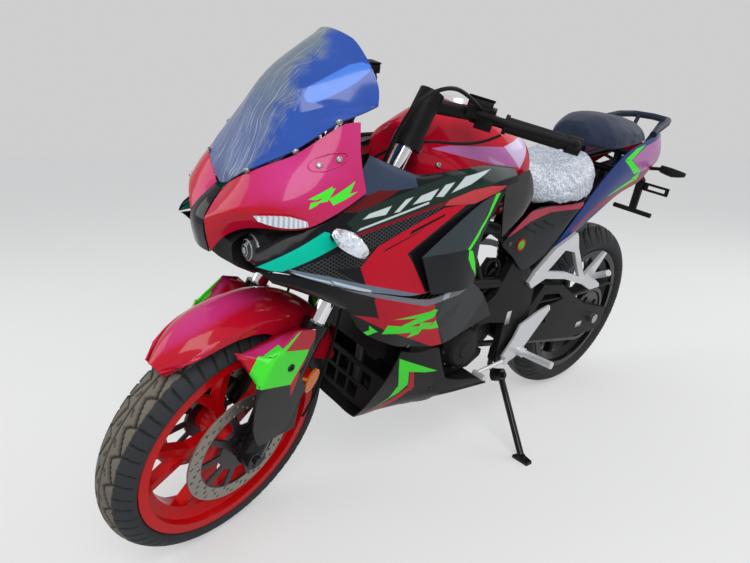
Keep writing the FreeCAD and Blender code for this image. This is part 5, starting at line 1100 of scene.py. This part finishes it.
def arc_through(first, middle, last, steps):
    """Points of the circle through three points, from the first towards the last."""
    (ax, ay), (bx, by), (cx, cy) = first, middle, last
    double = 2 * (ax * (by - cy) + bx * (cy - ay) + cx * (ay - by))
    sums = [x * x + y * y for x, y in (first, middle, last)]
    ux = (sums[0] * (by - cy) + sums[1] * (cy - ay) + sums[2] * (ay - by)) / double
    uy = (sums[0] * (cx - bx) + sums[1] * (ax - cx) + sums[2] * (bx - ax)) / double
    radius = math.hypot(ax - ux, ay - uy)
    start, end = (math.atan2(y - uy, x - ux) for x, y in (first, last))
    turn = (end - start + math.pi) % math.tau - math.pi
    return [(ux + radius * math.cos(start + turn * i / steps),
             uy + radius * math.sin(start + turn * i / steps)) for i in range(steps)]


def segment_gap(point, first, last):
    """Distance of a point from a straight stretch."""
    run = last - first
    share = within((point - first).dot(run) / run.length_squared)
    return (point - first - run * share).length


def tread_depth(lines, pitch, share, across, centre):
    """How far into a groove a place of the tread is, from 0 to 1."""
    here = Vector((share * pitch, abs(across)))
    deep = 0.0
    for half, points in lines:
        for shift in (-1, 0, 1):
            stretch = [Vector(((u + shift) * pitch, d)) for u, d in points]
            for first, last in zip(stretch, stretch[1:]):
                gap = segment_gap(here, first, last)
                deep = max(deep, within((half + GROOVE_EDGE - gap) / GROOVE_FLANK))
    if centre:
        deep = max(deep, within(MIDDLE_GROOVE - abs(across)))
    return deep


def grooved_tyre(name, piece_name, body, place, sizes, lines, cells, centre, settings):
    """A tyre spun from its section, with a tread pushed into its crown."""
    radius, half, crown, rim, bead, wall, dust_half = sizes
    tread = half * TREAD_SHARE
    edge = radius - crown + math.sqrt(crown ** 2 - tread ** 2)
    bulge = (edge + wall) / 2
    steps = cells * settings.cell_steps
    section = [(-rim, bead)]
    section += arc_through((-rim, wall), (-half, bulge), (-tread, edge), WALL_STEPS)
    section += arc_through((-tread, edge), (0, radius), (tread, edge), CROWN_STEPS)
    section += arc_through((tread, edge), (half, bulge), (rim, wall), WALL_STEPS)
    section += [(rim, wall), (rim, bead)]
    bm = bmesh.new()
    verts = [bm.verts.new((r / 1000, 0.0, a / 1000)) for a, r in section]
    full_spin(bm, verts, [bm.edges.new(pair) for pair in zip(verts, verts[1:] + verts[:1])], steps)
    bmesh.ops.remove_doubles(bm, verts=bm.verts, dist=TYRE_MERGE)
    bmesh.ops.recalc_face_normals(bm, faces=bm.faces)
    layer = bm.verts.layers.float_color.new("tread")
    pitch = math.tau * radius / cells
    known = {}
    for vert in bm.verts:
        angle = math.atan2(vert.co.y, vert.co.x) % math.tau
        across = vert.co.z * 1000
        ring = math.hypot(vert.co.x, vert.co.y) * 1000
        deep = 0.0
        if ring > edge - GROOVED_BELOW_EDGE:
            step = round(angle / math.tau * steps) % settings.cell_steps
            key = (step, round(across, 2), round(ring, 2))
            if key not in known:
                share = step / settings.cell_steps + (0.5 if across > 0 else 0.0)
                known[key] = tread_depth(lines, pitch, share, across, centre)
            deep = known[key]
            if ring < edge - SHALLOW_BELOW_EDGE:
                deep *= 0.5
            shrink = 1 - deep * settings.groove * 1000 / ring
            vert.co.x *= shrink
            vert.co.y *= shrink
        dusty = within((dust_half - abs(across)) / 10 + 0.5)
        # Red holds the groove depth, which the tread finish also uses for painted shade in the grooves;
        # green holds the dusty band
        vert[layer] = (deep, dusty if ring > edge - DUSTY_BELOW_EDGE else 0.0, 0.0, 1.0)
    bmesh.ops.transform(bm, verts=bm.verts,
                        matrix=place @ Matrix.Rotation(math.radians(-90), 4, "X"))
    finish_piece(bm, piece_name, piece_name, body, name, smooth=50)


class SPORTBIKE_OT_tyres(bpy.types.Operator):
    """Spins both tyres and presses the tread into them"""
    bl_idname = "sportbike.tyres"
    bl_label = "Tyres"

    def execute(self, context):
        for tyre in TYRES:
            grooved_tyre(*tyre, context.scene.bike_tyres)
        return {"FINISHED"}


# Screws, as node, X, Z, radius and height of the head in the bike's millimetres
SIDE_SCREWS = (("windscreen", 1381, 902, 6.0, 3.5), ("windscreen", 1316, 946, 6.0, 3.5),
               ("windscreen", 1248, 1002, 6.0, 3.5), ("nose_halves", 1289, 930, 6.0, 3.5),
               ("nose_halves", 1255, 942, 6.0, 3.5), ("fuel_tank", 928, 902, 6.5, 3.5))
GUARD_SCREWS = (("front_fender", 1327, 522, 9.0, 4.0),)
COVER_CENTRE = (724, 389)
COVER_RING = 66
COVER_SCREW_COUNT = 9
COVER_TURNS = [math.tau * i / COVER_SCREW_COUNT for i in range(COVER_SCREW_COUNT)]
DARK_SCREWS = (("side_covers", 654, 696, 6.5, 3.0), ("lower_fairings", 1010, 505, 5.0, 3.0),
               *(("engine_covers", COVER_CENTRE[0] + COVER_RING * math.cos(turn),
                  COVER_CENTRE[1] + COVER_RING * math.sin(turn), 4.5, 3.5)
                 for turn in COVER_TURNS))

# Small trim: the oval round the nose's screws has its middle, half length, half height and slope
NOSE_RECESS = (1272, 936, 34, 12, -0.35)
RECESS_STEPS = 20
VENTS = (((605, 738), (566, 722), (545, 716)), ((560, 742), (528, 728), (505, 722)),
         ((515, 744), (479, 728), (455, 724)))
RECESS_RADIUS = 1.1
VENT_RADIUS = 2.2
STALK_RADIUS = 8.0
WEB_WALL = 0.0025
LABEL_LIFT = 0.0005
LABEL_WALL = 0.0008
LABELS = (("frame_left", ((551, 432), (571, 432), (571, 474), (551, 474))),
          ("swingarm", ((62, 296), (96, 296), (96, 316), (62, 316))))
CAP_PLACE = (605, 688)
CAP_STEPS = 32
CAPS = (("cap_ring", "red_wheel", ((12.5, -1.0), (17.0, -1.0), (17.0, 1.4), (16.0, 2.0),
                                   (13.0, 2.0), (12.5, 1.4), (12.5, -1.0))),
        ("cap_disc", "lime_paint", ((0.0, -1.0), (12.0, -1.0), (12.0, 1.2), (10.5, 2.2),
                                    (0.0, 2.6))))

# Fluid pots: middle in millimetres, way of the lever, size in metres, and each layer's growth,
# bottom and top
POT_PLACE = (903, 158, 1057)
POT_WAY = (-0.447, 0.893, -0.048)
POT_SIZE = (0.054, 0.034)
POT_LAYERS = ((1.0, -0.012, 0.008), (1.08, 0.008, 0.013))
POT_BEVEL = 0.003

# Edges that the fender's webs join, in the fork's millimetres on the left side
SKIRT_EDGE = ((1424, 70, 556), (1385, 69, 560), (1340, 68, 566), (1290, 67, 566), (1240, 67, 558))
GUARD_EDGE = ((1424, 74, 551), (1390, 112, 553), (1350, 127, 572), (1312, 127, 604),
              (1268, 127, 592))

# Hoses and leads: name, points in the bike's millimetres and radius
INDICATOR_STALK = ((1272, 217, 812), (1270, 199, 810), (1266, 180, 806))
SWITCH_LEAD = ((885, 215, 1006), (905, 196, 986), (945, 160, 972), (1000, 112, 968),
               (1040, 60, 945), (1062, 24, 905))
ENGINE_HOSES = (
    ("breather_hose", ((672, 112, 580), (692, 114, 612), (670, 116, 642), (640, 118, 636),
                       (626, 120, 604), (640, 112, 566)), 5.0),
    ("water_hose", ((612, 112, 580), (650, 110, 552), (700, 104, 525), (742, 92, 500)), 9.0))
STEERED_HOSES = (
    ("left_lever_hose", ((935, 178, 1052), (985, 168, 1080), (1050, 160, 1094), (1112, 140, 1066),
                         (1116, 112, 1000), (1112, 92, 930), (1098, 70, 870)), 4.2),
    ("right_lever_hose", ((935, -178, 1052), (985, -168, 1080), (1050, -160, 1090),
                          (1108, -140, 1060), (1112, -110, 1000), (1108, -90, 930),
                          (1098, -66, 870)), 4.2),
    ("left_switch_lead", SWITCH_LEAD, 3.2),
    ("right_switch_lead", mirrored(SWITCH_LEAD), 3.2),
    ("left_brake_line", ((1180, 62, 262), (1150, 62, 300), (1140, 66, 380), (1128, 72, 480),
                         (1120, 66, 600), (1108, 60, 700)), 3.4),
    ("right_brake_line", ((1180, -62, 262), (1158, -62, 300), (1162, -68, 380), (1158, -76, 480),
                          (1150, -74, 600), (1134, -60, 700)), 3.4),
)


def screws(piece_name, finish, body, rows, sides=SIDES, place=BIKE):
    """One piece of domed screws that sit on the faces of nodes."""
    bm = bmesh.new()
    for side in sides:
        for name, x, z, radius, height in rows:
            button_bolt(bm, *surface_point(name, x, z, side, place), radius, height)
    finish_piece(bm, piece_name, finish, body)


def fender_webs():
    """Plates that carry the fender's skirt out to the guards beside the fork legs."""
    bm = bmesh.new()
    for side in SIDES:
        chains = []
        for edge in (SKIRT_EDGE, GUARD_EDGE):
            verts = [bm.verts.new(at(*point, FORK)) for point in mirrored(edge, side)]
            chains += [bm.edges.new(pair) for pair in zip(verts, verts[1:])]
        bmesh.ops.bridge_loops(bm, edges=chains)
    bmesh.ops.subdivide_edges(bm, edges=bm.edges, cuts=2, use_grid_fill=True, smooth=0.4)
    bmesh.ops.recalc_face_normals(bm, faces=bm.faces)
    thicken(finish_piece(bm, "fender_webs", "fender_livery", "steering"), WEB_WALL)


def blank_labels():
    """Two blank labels: one on the frame, one on the swingarm."""
    bm = bmesh.new()
    for name, corners in LABELS:
        line = surface_line(name, corners, LEFT, LABEL_LIFT)
        face = bm.faces.new([bm.verts.new(at(*point)) for point in line])
        bmesh.ops.bevel(bm, geom=list(face.verts), offset=0.002, segments=3, profile=0.5,
                        affect="VERTICES")
    thicken(finish_piece(bm, "blank_labels", "label", "chassis"), LABEL_WALL)


def cover_cap():
    """A ringed cap on the left side cover."""
    place = stand_on(*surface_point("side_covers", *CAP_PLACE, LEFT))
    for name, finish, profile in CAPS:
        bm = bmesh.new()
        spin_profile(bm, profile, CAP_STEPS, place)
        finish_piece(bm, name, finish, "chassis")


def fluid_pots():
    """Rounded fluid pots with a lid on the lever perches."""
    bm = bmesh.new()
    for side in SIDES:
        place, way = mirrored((POT_PLACE, POT_WAY), side)
        seat = Matrix.Translation(at(*place, FORK)) @ (FORK.to_3x3() @ Vector(
            way).normalized()).to_track_quat("X", "Z").to_matrix().to_4x4()
        for grow, low, high in POT_LAYERS:
            made = bmesh.ops.create_grid(bm, x_segments=1, y_segments=1, size=0.5)["verts"]
            size = Matrix.Diagonal((POT_SIZE[0] * grow, POT_SIZE[1] * grow, 1.0, 1.0))
            bmesh.ops.transform(bm, verts=made,
                                matrix=seat @ Matrix.Translation((0, 0, low)) @ size)
            base = list({f for v in made for f in v.link_faces})
            raised = bmesh.ops.extrude_face_region(bm, geom=base)["geom"]
            top = [v for v in raised if isinstance(v, bmesh.types.BMVert)]
            bmesh.ops.translate(bm, verts=top, vec=seat.to_3x3() @ Vector((0, 0, high - low)))
            edges = list({e for v in made + top for e in v.link_edges})
            bmesh.ops.bevel(bm, geom=edges, offset=POT_BEVEL, segments=3, profile=0.5,
                            affect="EDGES")
    bmesh.ops.recalc_face_normals(bm, faces=bm.faces)
    finish_piece(bm, "fluid_pots", "black_plastic", "steering")


def nose_recess():
    """An oval in side view, tilted by a slope."""
    middle_x, middle_z, half_long, half_high, slope = NOSE_RECESS
    turns = [math.tau * i / RECESS_STEPS for i in range(RECESS_STEPS + 1)]
    return [(middle_x + math.cos(turn) * half_long,
             middle_z + math.sin(turn) * half_high + math.cos(turn) * half_long * slope)
            for turn in turns]


class SPORTBIKE_OT_trim(bpy.types.Operator):
    """Adds screws, webs, labels, caps, pots, vents, stalks and hoses"""
    bl_idname = "sportbike.trim"
    bl_label = "Screws, small trim and hoses"

    def execute(self, context):
        screws("body_screws", "steel", "chassis", SIDE_SCREWS)
        screws("dark_screws", "dark_steel", "chassis", DARK_SCREWS, (LEFT,))
        screws("guard_screws", "black_gloss", "steering", GUARD_SCREWS, place=FORK)
        fender_webs()
        blank_labels()
        cover_cap()
        fluid_pots()
        for side, word in zip(SIDES, ("a", "b")):
            hose(f"recess_{word}", surface_line("nose_halves", nose_recess(), side),
                 RECESS_RADIUS, "red_panel", "chassis")
            for count, points in enumerate(VENTS):
                hose(f"vent_{word}_{count}", surface_line("side_covers", points, side),
                     VENT_RADIUS, "black_plastic", "chassis")
        for side, word in zip(SIDES, ("a", "b")):
            hose(f"indicator_stalk_{word}", mirrored(INDICATOR_STALK, side),
                 STALK_RADIUS, "black_plastic", "chassis")
        for name, points, radius in ENGINE_HOSES:
            hose(name, points, radius, "cord_rubber", "chassis")
        for name, points, radius in STEERED_HOSES:
            hose(name, points, radius, "cord_rubber", "steering", FORK)
        return {"FINISHED"}


# Stage, in metres and degrees of the row frame
LENS = 27.56
SENSOR = 36.0
CAMERA_PLACE = (1.1998, 1.0182, 0.925)
CAMERA_YAW = 229.92
CAMERA_PITCH = -14.40
FLOOR_GLOW = 0.38
SKY_COLOUR = (0.94, 0.96, 1.0, 1.0)
BACKDROP_COLOUR = (0.62, 0.62, 0.62, 1.0)

# Name, place, what it faces, width and the setting of its power
LAMPS = (("key_lamp", (2.2, 3.4, 3.6), (0.1, 0.0, 0.5), 3.0, "key_power"),
         ("fill_lamp", (3.6, -2.6, 2.4), (0.2, 0.0, 0.5), 2.6, "fill_power"),
         ("rear_lamp", (-3.4, 1.5, 3.0), (-0.2, 0.0, 0.6), 2.6, "fill_power"))


def aim(made, place, way):
    """Puts a lamp or the camera in place, looking one way."""
    made.location = place
    made.rotation_mode = "QUATERNION"
    made.rotation_quaternion = way.to_track_quat("-Z", "Y")


def seen_ray(tree):
    """1 for what is seen straight, in a gloss or through glass, and 0 for the light on things."""
    paths = node(tree, "ShaderNodeLightPath").outputs
    return maths(tree, "MAXIMUM", paths["Is Camera Ray"], maths(
        tree, "MAXIMUM", paths["Is Glossy Ray"], paths["Is Transmission Ray"]))


def lay_floor(stage):
    """The pale floor, a little brighter to the eye than the light alone would make it."""
    bm = bmesh.new()
    bmesh.ops.create_grid(bm, x_segments=2, y_segments=2, size=stage.floor_size / 2)
    mesh = bpy.data.meshes.new("floor")
    bm.to_mesh(mesh)
    bm.free()
    floor = add_object("floor", mesh)
    tree, shader = start_material("floor_finish")
    pale = tuple(stage.floor_colour)
    patchy = cloud(tree, object_place(tree), 3.0, 6.0)
    fill(tree, shader.inputs, {
        "Base Color": blend_colour(tree, patchy, shaded(pale, 0.97), pale),
        "Roughness": 0.9, "Specular IOR Level": 0.1, "Emission Color": (1.0, 1.0, 1.0, 1.0),
        "Emission Strength": times(tree, seen_ray(tree), FLOOR_GLOW)})
    mesh.materials.append(MATERIALS["floor_finish"])


def hang_sky(scene, level):
    """Soft light from all round, behind a plain backdrop."""
    scene.world = bpy.data.worlds.new("studio")
    scene.world.use_nodes = True
    tree = scene.world.node_tree
    tree.nodes.clear()
    soft = node(tree, "ShaderNodeBackground", {"Color": SKY_COLOUR, "Strength": level})
    plain = node(tree, "ShaderNodeBackground", {"Color": BACKDROP_COLOUR, "Strength": 1.0})
    mix = node(tree, "ShaderNodeMixShader", {0: seen_ray(tree), 1: soft.outputs[0],
                                             2: plain.outputs[0]})
    node(tree, "ShaderNodeOutputWorld", {"Surface": mix.outputs[0]})


class SPORTBIKE_OT_stage(bpy.types.Operator):
    """Sets the floor, the soft light and the camera"""
    bl_idname = "sportbike.stage"
    bl_label = "Stage"

    def execute(self, context):
        stage = context.scene.bike_stage
        lay_floor(stage)
        hang_sky(context.scene, stage.world_level)
        for name, place, target, size, power in LAMPS:
            data = bpy.data.lights.new(name, "AREA")
            data.shape = "SQUARE"
            data.size = size
            data.energy = getattr(stage, power)
            aim(add_object(name, data), place, Vector(target) - Vector(place))
        data = bpy.data.cameras.new("camera")
        data.lens = LENS
        data.sensor_width = SENSOR
        camera = add_object("camera", data)
        yaw, pitch = math.radians(CAMERA_YAW), math.radians(CAMERA_PITCH)
        aim(camera, CAMERA_PLACE, Vector((math.cos(yaw) * math.cos(pitch),
                                          math.sin(yaw) * math.cos(pitch), math.sin(pitch))))
        context.scene.camera = camera
        context.scene.view_settings.view_transform = "Standard"
        return {"FINISHED"}


OPERATORS = (SPORTBIKE_OT_stage, SPORTBIKE_OT_finishes, SPORTBIKE_OT_panels, SPORTBIKE_OT_seats,
             SPORTBIKE_OT_tyres, SPORTBIKE_OT_trim)
SETTINGS = (("bike_stage", StageSettings), ("bike_paint", PaintSettings),
            ("bike_tyres", TyreSettings), ("bike_seats", SeatSettings))


class SPORTBIKE_PT_panel(bpy.types.Panel):
    """Buttons and settings of the dresser"""
    bl_label = "Sport Bike Dresser"
    bl_idname = "SPORTBIKE_PT_panel"
    bl_space_type = "VIEW_3D"
    bl_region_type = "UI"
    bl_category = "Sport Bike"

    def draw(self, context):
        for name, group in SETTINGS:
            box = self.layout.box()
            for field in group.__annotations__:
                box.prop(getattr(context.scene, name), field)
        for operator in OPERATORS:
            self.layout.operator(operator.bl_idname)


CLASSES = (*(group for _, group in SETTINGS), *OPERATORS, SPORTBIKE_PT_panel)


def register():
    for one in CLASSES:
        bpy.utils.register_class(one)
    for name, group in SETTINGS:
        setattr(bpy.types.Scene, name, PointerProperty(type=group))


def unregister():
    for name, _ in SETTINGS:
        delattr(bpy.types.Scene, name)
    for one in reversed(CLASSES):
        bpy.utils.unregister_class(one)


def main():
    register()
    for operator in OPERATORS:
        getattr(bpy.ops.sportbike, operator.bl_idname.split(".")[1])()


if __name__ == "__main__":
    main()
